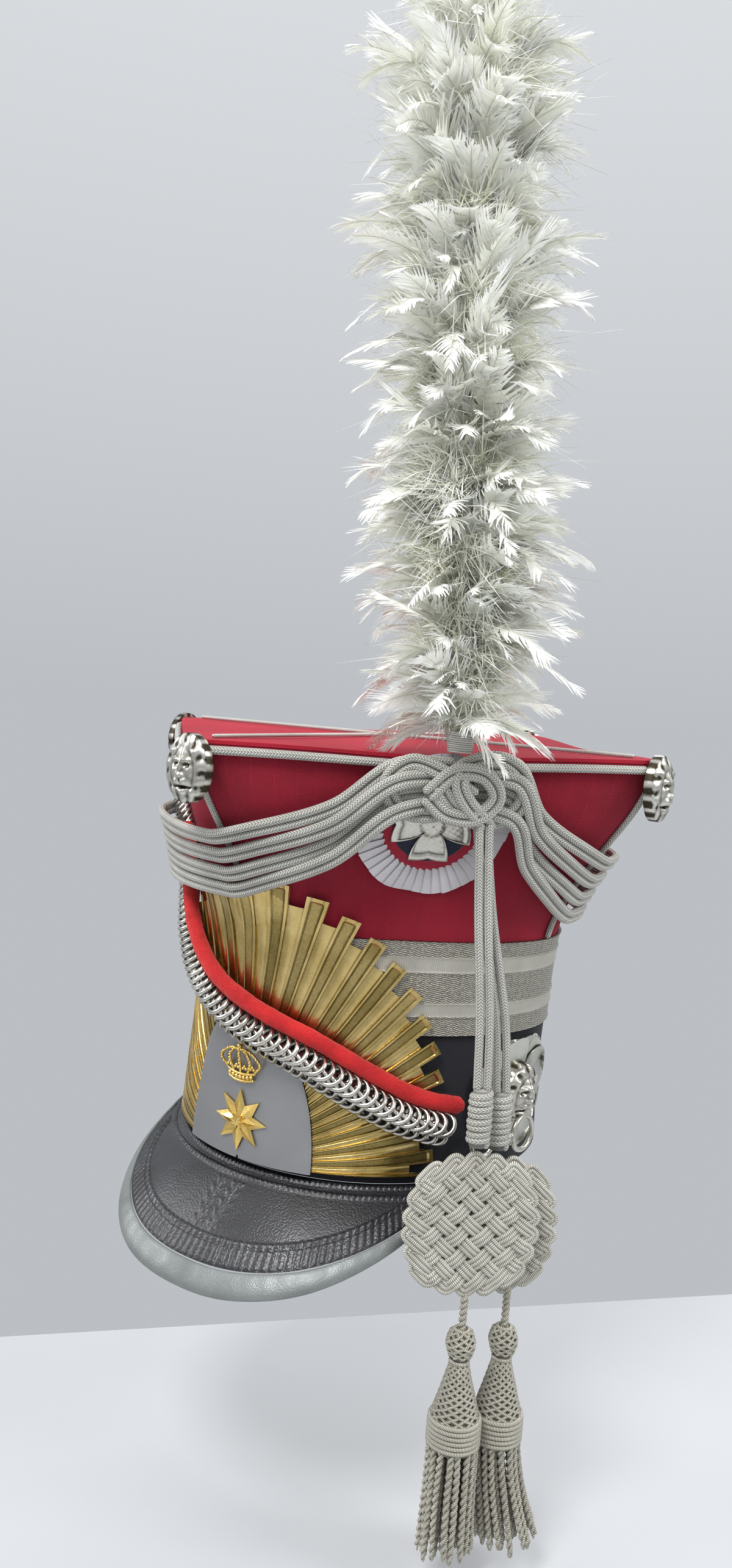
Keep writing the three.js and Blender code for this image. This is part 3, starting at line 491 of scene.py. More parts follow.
def metal(name, light, dark, deep, roughness, metallic=1.0, dent=0.0004, scale=70):
    """Metal darkened in its hollows by the tone of its points: painted shade. The hollows are also rougher.
    """
    look = Look(name, metallic=metallic)
    cloud = look.span(look.noise(scale, 5), 0.3, 0.72)
    fine = look.noise(900, 3)
    colour = look.mix(cloud, dark, light)
    # Painted shade: the deep colour fills the hollows by the tone of the points
    painted_hollow_shade = look.plus(look.tone(), look.times(look.minus(fine, 0.5), 0.5))
    colour = look.mix(look.span(painted_hollow_shade, 0.12, 0.95), colour, deep)
    rough = look.span(look.plus(look.times(cloud, 0.5), look.times(look.tone(), 0.6)),
                      0, 1, *roughness)
    height = look.plus(look.noise(160, 4), look.times(fine, 0.2))
    return look.finish(colour, rough, look.bump(height, dent, 0.5))


def leather(name, dark, light, rough, grain, distance, metallic=0.0):
    look = Look(name, metallic=metallic, coat_weight=0.15, coat_roughness=0.3)
    pebble = look.span(look.cells(grain), 0.0, 0.75)
    cloud = look.span(look.noise(45, 5), 0.35, 0.7)
    colour = look.mix(look.times(cloud, look.plus(pebble, 0.35)), dark, light)
    height = look.plus(pebble, look.times(look.noise(700, 3), 0.6))
    return look.finish(colour, look.span(cloud, 0, 1, rough + 0.1, rough - 0.06),
                       look.bump(height, distance, 0.6))


def felt():
    look = Look("red_felt", roughness=0.95, sheen_weight=0.55, sheen_roughness=0.45,
                sheen_tint=(1, 0.25, 0.2, 1))
    fibre = look.noise(1500, 4)
    cloud = look.span(look.noise(60, 4), 0.3, 0.7)
    colour = look.mix(look.times(look.plus(fibre, cloud), 0.5), (0.30, 0.004, 0.008), (0.72, 0.02, 0.022))
    return look.finish(colour, normal=look.bump(fibre, 0.0009, 0.8))


def ribbon():
    look = Look("white_ribbon", roughness=0.7, sheen_weight=0.25)
    v = look.flow()[1]
    rib = look.math("ABSOLUTE", look.sine(look.times(v, math.pi / 0.7)))
    cloud = look.span(look.noise(50, 4), 0.3, 0.7)
    # Rib crests are lighter: painted highlight. The tone turns the colour grey in the pleat folds: painted
    # shade
    colour = look.mix(look.plus(look.times(cloud, 0.5), look.times(rib, 0.4)),
                      (0.56, 0.53, 0.56), (0.80, 0.78, 0.78))
    colour = look.mix(look.tone(), colour, (0.30, 0.27, 0.30))
    return look.finish(colour, normal=look.bump(rib, 0.0002, 0.6))


def feather_look():
    look = Look("feather", roughness=0.8, sheen_weight=0.2, subsurface_weight=0.5, subsurface_scale=0.004,
                subsurface_radius=(1, 1, 0.85))
    mixed = look.plus(look.tone(), look.times(look.minus(look.noise(40, 3), 0.5), 0.35))
    # The low colour is the painted shade of the plume's inside, and the noise varies the tone at random
    colour = look.mix(look.span(mixed, 0.0, 0.55), (0.50, 0.50, 0.35), (0.88, 0.885, 0.78))
    colour = look.mix(look.span(mixed, 0.5, 1.0), colour, (0.97, 0.975, 0.94))
    return look.finish(colour)


def disc_cloth():
    """Crimson cloth with a navy middle, by the tone of its points."""
    look = Look("cockade_cloth", roughness=0.95, sheen_weight=0.2)
    fibre = look.noise(1300, 3)
    red = look.mix(fibre, (0.22, 0.006, 0.02), (0.42, 0.015, 0.04))
    navy = look.mix(fibre, (0.004, 0.006, 0.016), (0.02, 0.025, 0.05))
    return look.finish(look.mix(look.tone(), red, navy), normal=look.bump(fibre, 0.0005, 0.6))


BLACK_CLOTH = cloth("black_cloth", (0.003, 0.0035, 0.006), (0.011, 0.012, 0.018), 0.9, sheen_weight=0.1)
CRIMSON = cloth("crimson_cloth", (0.20, 0.002, 0.013), (0.36, 0.006, 0.028), 0.8, pressed=0.12,
                sheen=(1, 0.12, 0.18, 1), sheen_weight=0.12)
# A lighter copy of the crimson cloth for the upward face of the top: painted light
CRIMSON_TOP_PAINTED_LIGHT = cloth("crimson_top_painted_light", (0.30, 0.003, 0.016), (0.48, 0.008, 0.032), 0.8,
                    sheen=(1, 0.12, 0.18, 1),
                    sheen_weight=0.12)
# The dark colour of each cord is the painted shade in its grooves
BRAID = cord_look("braided_cord", (0.74, 0.73, 0.67), (0.13, 0.125, 0.10), 1.5, lanes=8)
GIMP = cord_look("gimp_cord", (0.76, 0.74, 0.65), (0.17, 0.155, 0.12), 0.85)
BULLION = cord_look("bullion_cord", (0.68, 0.65, 0.54), (0.13, 0.115, 0.08), 0.7, metallic=0.3)
LACE = lace_look()
# The third colour of each metal is the painted shade for its hollows
SILVER = metal("silver_with_painted_hollow_shade", (0.66, 0.645, 0.59), (0.50, 0.48, 0.42), (0.045, 0.038, 0.025),
               (0.24, 0.5))
PETAL = metal("petal_silver", (0.62, 0.63, 0.57), (0.52, 0.52, 0.46), (0.13, 0.125, 0.10), (0.28, 0.42),
              dent=0.0002)
CHAIN_SILVER = metal("chain_silver", (0.72, 0.70, 0.66), (0.50, 0.48, 0.43), (0.10, 0.09, 0.07),
                     (0.2, 0.36))
GREY_PLATE = metal("grey_plate", (0.33, 0.33, 0.34), (0.28, 0.28, 0.29), (0.2, 0.2, 0.2), (0.42, 0.55),
                   metallic=0.75, dent=0.00006, scale=25)
BRASS = metal("sunburst_brass", (0.72, 0.55, 0.24), (0.46, 0.33, 0.11), (0.14, 0.105, 0.03), (0.2, 0.42),
              dent=0.0003)
GOLD = metal("badge_gold", (0.95, 0.70, 0.25), (0.72, 0.48, 0.12), (0.16, 0.09, 0.02), (0.22, 0.4),
             dent=0.0003)
BLACK_LEATHER = leather("black_leather", (0.004, 0.004, 0.005), (0.022, 0.022, 0.027), 0.34, 900, 0.0002)
GREY_LEATHER = leather("silver_leather", (0.15, 0.165, 0.16), (0.22, 0.235, 0.23), 0.40, 1300, 0.00012,
                       metallic=0.25)
RED_FELT = felt()
BACKING = leather("boss_backing", (0.06, 0.012, 0.012), (0.13, 0.03, 0.025), 0.5, 700, 0.0002)
RIBBON = ribbon()
FEATHER = feather_look()
DISC_CLOTH = disc_cloth()
# The dark colour of each cord is the painted shade in its grooves
PIPING = cord_look("white_piping", (0.74, 0.72, 0.67), (0.30, 0.28, 0.25), 0.9)
THREAD = cord_look("red_thread", (0.55, 0.02, 0.03), (0.12, 0.004, 0.008), 0.5, metallic=0.0)


# Cloth body, lace and top
def wall(foot, top, columns, rows, over, under, tone=None):
    piece = Piece()
    at = np.arange(columns) / columns * 360
    z = np.linspace(foot, top, rows)
    outer = body_point(at[:, None], z[None], over(at[:, None], z[None]))
    inner = body_point(at[:, None], z[None], np.full((columns, rows), under))
    shade = 0.0 if tone is None else np.broadcast_to(tone(z)[None], (columns, rows))
    piece.slab(outer, inner, np.arange(columns + 1) / columns * 2 * math.pi * MEAN_RADIUS, z, True, shade)
    return piece


def puckers(at, z):
    """Slight waves of pressed cloth, gathered towards the top corners."""
    near = np.abs(np.sin(np.radians(at) * 2))
    gathered = 0.28 * np.sin(np.radians(at) * 26 + z * 0.11) * (1 - near)
    return gathered + 0.22 * np.sin(z * 0.16 + at * 0.05) * near


make("skull_cloth", wall(0, LACE_TOP, 160, 26, lambda a, z: 0 * a * z, -WALL), BLACK_CLOTH, "black_cloth",
     "skull")
make("crown_cloth", wall(LACE_TOP + GAP, TOP_Z - GAP, 240, 36, puckers, -WALL), CRIMSON, "crimson_cloth",
     "crown")

# Lace stripes: shares of the height where the weave is plain and smooth
SMOOTH_STRIPES = [(0.20, 0.34), (0.67, 0.83)]


def smooth_share(z):
    h = (z - LACE_BOTTOM) / (LACE_TOP - LACE_BOTTOM)
    return sum(smooth(h, a - 0.012, a + 0.012) * smooth(h, b + 0.012, b - 0.012) for a, b in SMOOTH_STRIPES)


def lace_relief(at, z):
    h = (z - LACE_BOTTOM) / (LACE_TOP - LACE_BOTTOM)
    stripes = sum(bell(h, e, 0.016) for pair in SMOOTH_STRIPES for e in pair)
    edges = stripes + bell(h, 0.0, 0.02) + bell(h, 1.0, 0.02)
    return 1.35 + 0.35 * smooth_share(z) + 0.5 * edges + 0.06 * np.sin(np.radians(at) * 20)


make("lace_band_woven", wall(LACE_BOTTOM, LACE_TOP, 240, 66, lace_relief, 0.3, smooth_share), LACE,
     "silver_lace",
     "lace_band")


def crown_top():
    piece = Piece()
    columns = 160
    at = np.arange(columns) / columns * 360
    share = np.linspace(0.01, 1, 30)
    edge = body_point(at[:, None], TOP_Z + 0 * share[None], 0.0)
    sag = 0.8 * np.sin(share * math.pi)[None] * (1 + 0.4 * np.sin(np.radians(at) * 4))[:, None]
    level = TOP_Z + (edge[..., 2] - TOP_Z) * share[None]
    outer = edge * share[None, :, None]
    outer[..., 2] = level + TOP_THICK - 0.25 * smooth(share, 0.97, 1)[None] - sag
    inner = outer.copy()
    inner[..., 2] = level
    piece.slab(outer, inner, np.arange(columns + 1) * 3.7, share * 120, True, flip=True)
    return piece


make("crown_top_cloth", crown_top(), CRIMSON_TOP_PAINTED_LIGHT, "crimson_cloth", "crown_top")


# Sewn cords on edges, seams and diagonals
CORD_STEP, CORD_SIDES = 1.2, 9
EDGE_CORD, SEAM_CORD, TOP_CORD = 2.1, 1.6, 1.0
SEAM_FOOT, FRONT_SEAM_FOOT, SEAM_TOP = 125, 157, 207


def sewn_cord(name, path, radius, look, node):
    piece = Piece()
    piece.tube(spaced(path, CORD_STEP), radius, CORD_SIDES)
    make_cord(name, piece, look, node)


for corner, at in CORNERS.items():
    edge = body_point(np.linspace(at + 3, at + 87, 60), TOP_Z - 3, 2.5)
    sewn_cord(f"edge_braid_{corner}", edge, EDGE_CORD, BRAID, f"edge_cord_{corner}")
    foot = FRONT_SEAM_FOOT if corner == "front" else SEAM_FOOT
    seam = body_point(at, np.linspace(foot, SEAM_TOP, 40), SEAM_CORD)
    sewn_cord(f"seam_braid_{corner}", seam, SEAM_CORD, BRAID, f"seam_cord_{corner}")


def on_top(x, y):
    return np.array([x, y, TOP_Z + TOP_THICK + 0.9 + TOP_LEAN * y])


TOP_REACH = 148
for name, start, end in (("long", (0, -TOP_REACH), (0, TOP_REACH)), ("left", (2.3, 0), (TOP_REACH, 0)),
                         ("right", (-2.3, 0), (-TOP_REACH, 0))):
    path = np.linspace(on_top(*start), on_top(*end), 80)
    sewn_cord(f"top_piping_{name}", path, TOP_CORD, PIPING, f"top_cord_{name}")


# Animal-head relief: middle x and y, half width and height, amount, 1 where a mark has a twin
LION_MARKS = [
    (0.50, 0.46, 0.11, 0.10, 0.12, 1),
    (0.50, 0.44, 0.05, 0.05, -0.07, 1),
    (0.24, 0.24, 0.19, 0.075, 0.13, 1),
    (0.25, 0.09, 0.115, 0.06, -0.15, 1),
    (0.25, 0.08, 0.06, 0.03, 0.07, 1),
    (0, 0.04, 0.085, 0.25, 0.16, 0),
    (0, -0.20, 0.16, 0.08, 0.17, 0),
    (0.19, -0.37, 0.16, 0.11, 0.17, 1),
    (0, -0.36, 0.025, 0.10, -0.10, 0),
    (0, -0.53, 0.30, 0.045, -0.22, 0),
    (0, -0.68, 0.17, 0.09, 0.13, 0),
    (0.42, -0.08, 0.12, 0.17, 0.08, 1),
    (0, 0.44, 0.2, 0.15, 0.08, 0),
    (0, 0.36, 0.03, 0.2, -0.05, 0),
]


def lion(x, y):
    """Height, in shares of the relief, of a maned head over an oval, x and y from -1 to 1."""
    r = np.hypot(x, y)
    turn = np.arctan2(x, y)
    face = np.hypot(x / 0.60, (y + 0.10) / 0.74)
    mane = smooth(face, 0.86, 1.08)
    inner_locks = np.cos(turn * 11 + 4 * r) * bell(r, 0.80, 0.13)
    locks = inner_locks + 0.8 * np.cos(turn * 15 - 5 * r + 1.3) * bell(r, 0.98, 0.09)
    h = 0.58 * np.sqrt(np.maximum(1 - 0.9 * r * r, 0)) + mane * (0.06 + 0.045 * locks)
    h = h + 0.10 * smooth(face, 1.0, 0.3)
    for cx, cy, wx, wy, amount, twin in LION_MARKS:
        for hand in (1, -1)[:1 + twin]:
            h = h + amount * np.exp(-(((x - hand * cx) / wx) ** 2) - ((y - cy) / wy) ** 2)
    return h


def hollows(h, reach=3):
    """How far each point of a relief lies below its surroundings, from 0 to 1."""
    mean = np.zeros_like(h)
    padded = np.pad(h, ((0, 0), (reach, reach)), mode="edge")
    for i in range(-reach, reach + 1):
        for j in range(-reach, reach + 1):
            mean += np.roll(padded, (i, j), (0, 1))[:, reach:-reach]
    mean /= (2 * reach + 1) ** 2
    return np.clip((mean - h) * 30 + 0.15, 0, 1)


def lion_grid(spokes=96, rings=40):
    turn = round_steps(spokes)[:, None]
    r = np.linspace(0.01, 1, rings)[None]
    x, y = r * np.sin(turn), r * np.cos(turn)
    return x, y, lion(x, y)


BOSS_RELIEF, BOSS_RIM = 9.5, 2.0
BACKING_SHARE, BACKING_FRONT, BACKING_BACK = 0.86, 0.4, -0.25


def boss(at, backing=False):
    piece = Piece()
    turn = math.radians(at)
    outward = np.array([math.sin(turn), -math.cos(turn), 0])
    sideways = np.array([math.cos(turn), math.sin(turn), 0])
    seat = body_point(at, TOP_Z, BOSS["lift"])
    seat[2] = BOSS["z"] + TOP_LEAN * seat[1]
    x, y, h = lion_grid()

    def place(out):
        return (seat + sideways * (x * BOSS["half_width"])[..., None] + outward * out[..., None]
                + UP * (y * BOSS["half_height"])[..., None])

    if backing:
        x, y = x * BACKING_SHARE, y * BACKING_SHARE
        piece.slab(place(0 * h + BACKING_FRONT), place(0 * h + BACKING_BACK), wrap_u=True, flip=True)
        return piece
    # The hollows of the relief give the tone that darkens them: painted shade
    deep = hollows(h)
    piece.slab(place(BOSS_RIM + BOSS_RELIEF * h), place(0 * h), wrap_u=True, tone=deep, flip=True)
    return piece


for corner, at in CORNERS.items():
    make(f"lion_boss_{corner}", boss(at), SILVER, "silver_metal", f"corner_boss_{corner}", sharp=75)
    make(f"boss_backing_{corner}", boss(at, True), BACKING, "red_felt", sharp=75)


# Sunburst plate: framed long rays with sunk channels between shorter ridged ones
RAY_SPAN = 180 / (SUN["rays"] - 1)
LONG_SHARE = 0.56
PLATE_UNDER, PLATE_FACE = 2.5, 3.0
RAY_START = 16


def sunburst():
    piece = Piece()
    rng = np.random.default_rng(5)

    def strip(low, high, length, long):
        across = np.array([0, 0.06, 0.14, 0.21, 0.32, 0.5, 0.68, 0.79, 0.86, 0.94, 1.0])
        tip = length - np.array([3, 2.4, 1.9, 0.5, 0])
        r = np.concatenate([np.linspace(RAY_START, length - 4, 18), tip])
        angle = np.radians(low + (high - low) * across)[:, None]
        edge = np.minimum(across, 1 - across)[:, None] * np.ones_like(r)[None]
        # Tone darkens the sunk channels, a line at their edges and the sides of the short rays: painted
        # shade. Every ray also darkens towards the middle
        if long:
            sunk = smooth(edge, 0.13, 0.22) * smooth(length - r, 1.9, 2.9)[None]
            h = 0.95 - 0.75 * sunk
            tone = 0.55 * sunk + 0.65 * bell(edge, 0.2, 0.04)
        else:
            h = 0.15 + 0.55 * smooth(edge, 0.0, 0.4)
            tone = 0.6 * smooth(edge, 0.12, 0.0) + 0.12
        near = smooth(r, 70, 30)[None]
        dents = 0.14 * np.sin(r * rng.uniform(0.05, 0.16) + rng.uniform(0, 6))[None]
        out = PLATE_FACE + h * (1 - 0.3 * near) + dents * 0.4
        tone = np.clip(tone * rng.uniform(0.75, 1.2) + 0.25 * smooth(r, 120, 40)[None] * (0.3 + tone), 0, 1)
        along, up = r[None] * np.sin(angle), r[None] * np.cos(angle)
        z = np.maximum(SUN["foot"] + up, SUN["foot"] + 0.02 * r[None])
        piece.relief(on_body, along, z, out, PLATE_UNDER, False, tone)

    for i in range(SUN["rays"]):
        middle = -90 + i * RAY_SPAN
        length = SUN["top"] - SUN["loss"] * abs(middle) + rng.uniform(-0.6, 0.6)
        half = LONG_SHARE * RAY_SPAN / 2
        strip(max(middle - half, -90), min(middle + half, 90), length, True)
        if i + 1 < SUN["rays"]:
            between = abs(middle + RAY_SPAN / 2)
            short = SUN["top"] - SUN["loss"] * between - SUN["notch"] + rng.uniform(-0.8, 0.8)
            strip(middle + half, middle + RAY_SPAN - half, short, False)
    return piece


make("sunburst_plate", sunburst(), BRASS, "brass", "front_plate", sharp=28)


PLATE = {"half_width": 40, "height": 76, "back": 4.2, "face": 5.2}


def centre_plate():
    piece = Piece()
    angle = np.radians(np.linspace(-90, 90, 73))[:, None]
    v = np.concatenate([np.linspace(0.02, 0.95, 22), [0.965, 0.975, 0.985, 1.0]])[None]
    along = PLATE["half_width"] * v * np.sin(angle)
    z = SUN["foot"] + PLATE["height"] * v * np.cos(angle)
    wave = 0.25 * np.cos(v * 1.4) + 0.18 * np.sin(along * 0.09 + z * 0.05)
    face = PLATE["face"] + wave - 0.35 * smooth(v, 0.965, 1.0)
    piece.relief(on_body, along, z, face, PLATE["back"], False)
    return piece


make("centre_plate_smooth", centre_plate(), GREY_PLATE, "silver_metal", "centre_plate", sharp=30)

# Crown badge: five beaded arches over a jewelled band, with an orb
CROWN_Z = 53
BADGE_BACK = 6.3
BAND_WIRE, ARCH_WIRE, CROSS_WIRE, JEWEL, ORB = 0.75, 0.72, 0.5, 1.15, 1.5

# Bands: height, half width. Arches and leaves: place as a share of the half width
CROWN_BANDS = [(-9.3, 7.4), (-5.6, 8.4)]
CROWN_ARCHES = (-1.0, -0.52, 0.0, 0.52, 1.0)
CROWN_LEAVES = (-0.76, -0.26, 0.26, 0.76)


def on_plate(a, b, out, middle):
    return on_body(np.asarray(a, float), middle + np.asarray(b, float), np.asarray(out, float))


def crown_badge():
    piece = Piece()

    def line(points, radius, beads=0, bead=0.0):
        p = spline(np.array(points, float), 24)
        path = on_plate(p[:, 0], p[:, 1], p[:, 2], CROWN_Z)
        piece.tube(path, radius, 7)
        for k in np.linspace(3, 20, beads).astype(int):
            piece.ball(path[k] + unit(path[k] * [1, 1, 0]) * radius * 0.8, bead, 8, 5)

    low = BADGE_BACK + 0.5
    for b, half in CROWN_BANDS:
        line([(-half, b + 1.2, low), (-half / 2, b + 0.25, low + 0.5), (0, b, low + 0.7),
              (half / 2, b + 0.25, low + 0.5),
              (half, b + 1.2, low)], BAND_WIRE)
    for a in np.linspace(-6.6, 6.6, 7):
        piece.ball(on_plate(a, -7.4 + 0.022 * a * a, low + 0.5, CROWN_Z), JEWEL, 9, 6)
    for a in CROWN_ARCHES:
        line([(8.2 * a, -5 + a * a, low + 0.3), (11.8 * a, 0.5, low + 0.9),
              (10.4 * a, 4.6 - abs(a), low + 1.4),
              (4.2 * a, 7.4, low + 1.5), (0.4 * a, 7.2, low + 1.2)], ARCH_WIRE, 8, ARCH_WIRE)
    for a in CROWN_LEAVES:
        for da, db in ((0, 1.6), (-0.9, 0.4), (0.9, 0.4)):
            piece.ball(on_plate(9.2 * a + da, -3.2 + a * a + db, low + 0.4, CROWN_Z), 0.85, 8, 5)
    piece.ball(on_plate(0, 8.8, low + 1.1, CROWN_Z), ORB, 10, 7)
    line([(0, 9.8, low + 0.9), (0, 10.8, low + 0.9), (0, 11.9, low + 0.9)], CROSS_WIRE)
    line([(-1.1, 11.0, low + 0.9), (0, 11.0, low + 0.9), (1.1, 11.0, low + 0.9)], CROSS_WIRE)
    return piece


make("crown_badge_gold", crown_badge(), GOLD, "brass", "crown_badge", weld=False, sharp=70)

STAR = {"points": 8, "tip": 16, "notch": 8.5, "z": 23}


def star_badge():
    piece = Piece()
    spokes = STAR["points"] * 2
    turn = round_steps(spokes)
    reach = np.where(np.arange(spokes) % 2 == 0, STAR["tip"], STAR["notch"])
    v = np.array([0.02, 0.25, 0.3, 0.36, 0.7, 1.0])
    crest = np.array([2.7, 2.4, 1.5, 1.9, 1.3, 0.5])
    valley = np.array([2.7, 2.4, 1.5, 0.9, 0.6, 0.4])
    high = np.where(np.arange(spokes)[:, None] % 2 == 0, crest[None], valley[None])
    a, b = reach[:, None] * v * np.sin(turn)[:, None], reach[:, None] * v * np.cos(turn)[:, None]
    # The facets towards the notches between the points are darker: painted shade
    tone = np.where(np.arange(spokes)[:, None] % 2 == 0, 0.0, 0.3) * (v > 0.3)[None] * np.ones((spokes, 1))
    piece.relief(on_body, a, STAR["z"] + b, BADGE_BACK + high, BADGE_BACK, True, tone)
    return piece


make("star_badge_gold", star_badge(), GOLD, "brass", "star_badge", sharp=8)


# Peak with embossed bead rows, ribs and a sprig, and its rolled binding
def visor_edge(u):
    turn = np.radians(90 * (2 * u - 1))
    power = 2 / VISOR["power"]
    x = VISOR["half"] * np.sign(turn) * np.abs(np.sin(turn)) ** power
    y = VISOR["back_y"] - VISOR["depth"] * np.abs(np.cos(turn)) ** power
    return np.stack([x, y, VISOR["back_z"] + VISOR["slope"] * (y - VISOR["back_y"])], -1)


def visor_point(u, share, drop):
    u, share, drop = np.broadcast_arrays(u, share, drop)
    rim = body_point(VISOR_ANGLE * (2 * u - 1), 0, -WALL / 2)
    rim[..., 2] = -2 * GAP
    point = rim + (visor_edge(u) - rim) * share[..., None]
    point[..., 2] += VISOR_BULGE * 4 * share * (1 - share) * np.sin(math.pi * u) - drop
    return point


# Bead rows of the peak: distance from the inner edge, half width, shift along the row
BEAD_ROWS = [(3.0, 1.5, 0.0), (9.6, 1.4, 1.5)]
BEAD_HEIGHT, BEAD_PITCH, FLUTE_PITCH = 0.9, 3.0, 4.0
SPRIG = {"height": 0.6, "stem": 5.0, "leaf": 2.8, "pitch": 6.0}


def beads(x, pitch):
    return np.sqrt(np.abs(np.sin(math.pi * x / pitch)))


def emboss(u, s, end):
    """Raised pattern of the peak in millimetres, from distances to its two edges."""
    edge = visor_edge(u)
    rim = body_point(VISOR_ANGLE * (2 * u - 1), 0, -WALL / 2)
    deep = np.linalg.norm(edge - rim, axis=-1)[:, None]
    around = lengths(rim + (edge - rim) * 0.25)[:, None]
    outside = lengths(rim + (edge - rim) * 0.75)[:, None]
    inward, outward = s[None] * deep, (end - s)[None] * deep
    room = smooth(inward, 12.0, 13.5)
    h = room * BEAD_HEIGHT * np.exp(-((outward - 11.3) / 1.5) ** 4) * beads(outside, FLUTE_PITCH)
    for place, half, shift in BEAD_ROWS:
        h = h + BEAD_HEIGHT * np.exp(-((inward - place) / half) ** 4) * beads(around + shift, BEAD_PITCH)
    flute = 0.75 * beads(outside, FLUTE_PITCH) * (0.8 + 0.2 * np.abs(np.sin(math.pi * outward / 2.4)))
    h = h + room * flute * smooth(outward, 9.6, 9.0) * smooth(outward, 0.3, 1.0)
    x = rim[:, None, 0] + (edge - rim)[:, None, 0] * s[None]
    middle = smooth(inward, 13, 14) * smooth(outward, 13.5, 14.5)
    for stem in (-SPRIG["stem"], SPRIG["stem"]):
        h = h + SPRIG["height"] * middle * np.exp(-((x - stem) / 0.7) ** 2)
        for leaf in (-SPRIG["leaf"], SPRIG["leaf"]):
            away = x - stem - leaf
            shift = (inward + 1.1 * away * np.sign(leaf)) % SPRIG["pitch"] - SPRIG["pitch"] / 2
            h = h + SPRIG["height"] * middle * np.exp(-(away / 1.1) ** 2 - (shift / 1.3) ** 2)
    return h


VISOR_COLUMNS, VISOR_ROWS, UNDER_STEP = 480, 85, 18


def visor():
    piece = Piece()
    end = BINDING_START - 0.004
    u = np.linspace(0.002, 0.998, VISOR_COLUMNS)
    s = np.linspace(0, end, VISOR_ROWS)
    top = visor_point(u[:, None], s[None], -emboss(u, s, end))
    under = visor_point(u[:, None], s[None], np.full((1, 1), VISOR_THICK))[:, ::UNDER_STEP]
    piece.grid(top, lengths(top[:, 60]), s * 50)
    piece.grid(under, flip=True)
    for edge, flip in ((0, True), (-1, False)):
        piece.grid(np.stack([top[:, edge], under[:, edge]], 1), flip=flip)
    return piece


make("visor_leather", visor(), BLACK_LEATHER, "black_leather", "visor", sharp=60)


def visor_binding():
    piece = Piece()
    u = np.linspace(0, 1, 260)
    turn = np.linspace(0, 2 * math.pi, 28, endpoint=False)
    middle, half = (1 + BINDING_START) / 2, (1 - BINDING_START) / 2
    share = middle - half * np.sign(np.cos(turn)) * np.abs(np.cos(turn)) ** 0.75
    drop = 1.2 - 2.3 * np.sign(np.sin(turn)) * np.abs(np.sin(turn)) ** 0.7
    wrinkle = 0.10 * np.sin(u * 210)[:, None] * np.sin(turn)[None] ** 2 + 0.12 * np.sin(u * 37)[:, None]
    points = visor_point(u[:, None], share[None], drop[None] + wrinkle)
    piece.grid(points, lengths(visor_edge(u)), np.arange(29) * 0.8, wrap_v=True)
    for end, flip in ((0, False), (-1, True)):
        piece.grid(np.stack([points[end], np.broadcast_to(points[end].mean(0), points[end].shape)], 0),
                   wrap_v=True,
                   flip=flip)
    return piece


make("visor_binding_leather", visor_binding(), GREY_LEATHER, "silver_leather", "visor_binding", sharp=60)


# Chin chain on its strap, with a felt roll and a lashing thread
def on_route(t, aside, out):
    t, aside, out = floats(t, aside, out)
    p, q, o = (spline(CHAIN_ROUTE, np.clip(t.ravel() + d, 0, 1)) for d in (0, 0.01, -0.01))
    along_mm = np.radians(o[:, 0] - q[:, 0]) * MEAN_RADIUS
    rise = q[:, 1] - o[:, 1]
    length = np.hypot(along_mm, rise)
    aside, out = aside.ravel(), out.ravel()
    at = p[:, 0] + np.degrees(aside * rise / length / MEAN_RADIUS)
    return body_point(at, p[:, 1] + aside * along_mm / length, p[:, 2] + out).reshape(*t.shape, 3)


def outward_of(path):
    return unit(path * [1, 1, 0])


def chin_strap():
    piece = Piece()
    t = np.linspace(0, 1, 160)[:, None]
    aside = np.linspace(-STRAP_HALF, STRAP_HALF, 13)[None]
    crowned = STRAP_THICK - 0.5 * (aside / STRAP_HALF) ** 4
    piece.slab(on_route(t, aside, crowned + 0 * t), on_route(t, aside, 0 * t), np.arange(161) * 1.9,
               aside[0],
               flip=True)
    return piece


make("chin_strap_leather", chin_strap(), BLACK_LEATHER, "black_leather", "chin_strap", sharp=50)


FUZZ_COUNT, FUZZ_HALF_WIDTH = 2600, 0.09


def felt_roll():
    piece = Piece()
    path = spaced(on_route(np.linspace(0, ROLL_END, 200), ROLL_ASIDE, ROLL_RADIUS + 0.6), 1.3)
    along = lengths(path)
    radius = ROLL_RADIUS * (1 + 0.02 * np.sin(along * 0.31) + 0.015 * np.sin(along * 0.83 + 1))
    piece.tube(path, radius, 18, outward_of(path))
    rng = np.random.default_rng(21)
    count = FUZZ_COUNT
    k = rng.integers(2, len(path) - 2, count)
    ahead, out = unit(path[k + 1] - path[k - 1]), outward_of(path[k])
    across = np.cross(ahead, out)
    turn = rng.uniform(-0.4, math.pi + 0.4, count)[:, None]
    normal = out * np.sin(turn) + across * np.cos(turn)
    root = path[k] + normal * radius[k][:, None] * 0.97 + ahead * rng.uniform(-0.6, 0.6, count)[:, None]
    lean = ahead * rng.normal(0, 0.8, count)[:, None] + across * rng.normal(0, 0.5, count)[:, None]
    tip = root + (normal + lean) * rng.uniform(0.4, 1.0, count)[:, None]
    side = unit(np.cross(normal + lean, ahead)) * FUZZ_HALF_WIDTH
    blades = np.stack([np.stack([root - side, root + side], 1),
                       np.stack([tip - side * 0.2, tip + side * 0.2], 1)], 1)
    for blade in blades:
        piece.grid(blade)
    return piece


make("felt_roll_soft", felt_roll(), RED_FELT, "red_felt", "felt_roll", weld=False, sharp=80)

# Interlaced rows of rings: radius, wire, pitch, then each row's side, lift and tilts
CHAIN = {"radius": 6.0, "wire": 1.32, "pitch": 4.75, "margin": 6}
CHAIN_ROWS = [(2.6, 4.4, 34, 36), (-2.7, 3.7, -24, 30)]


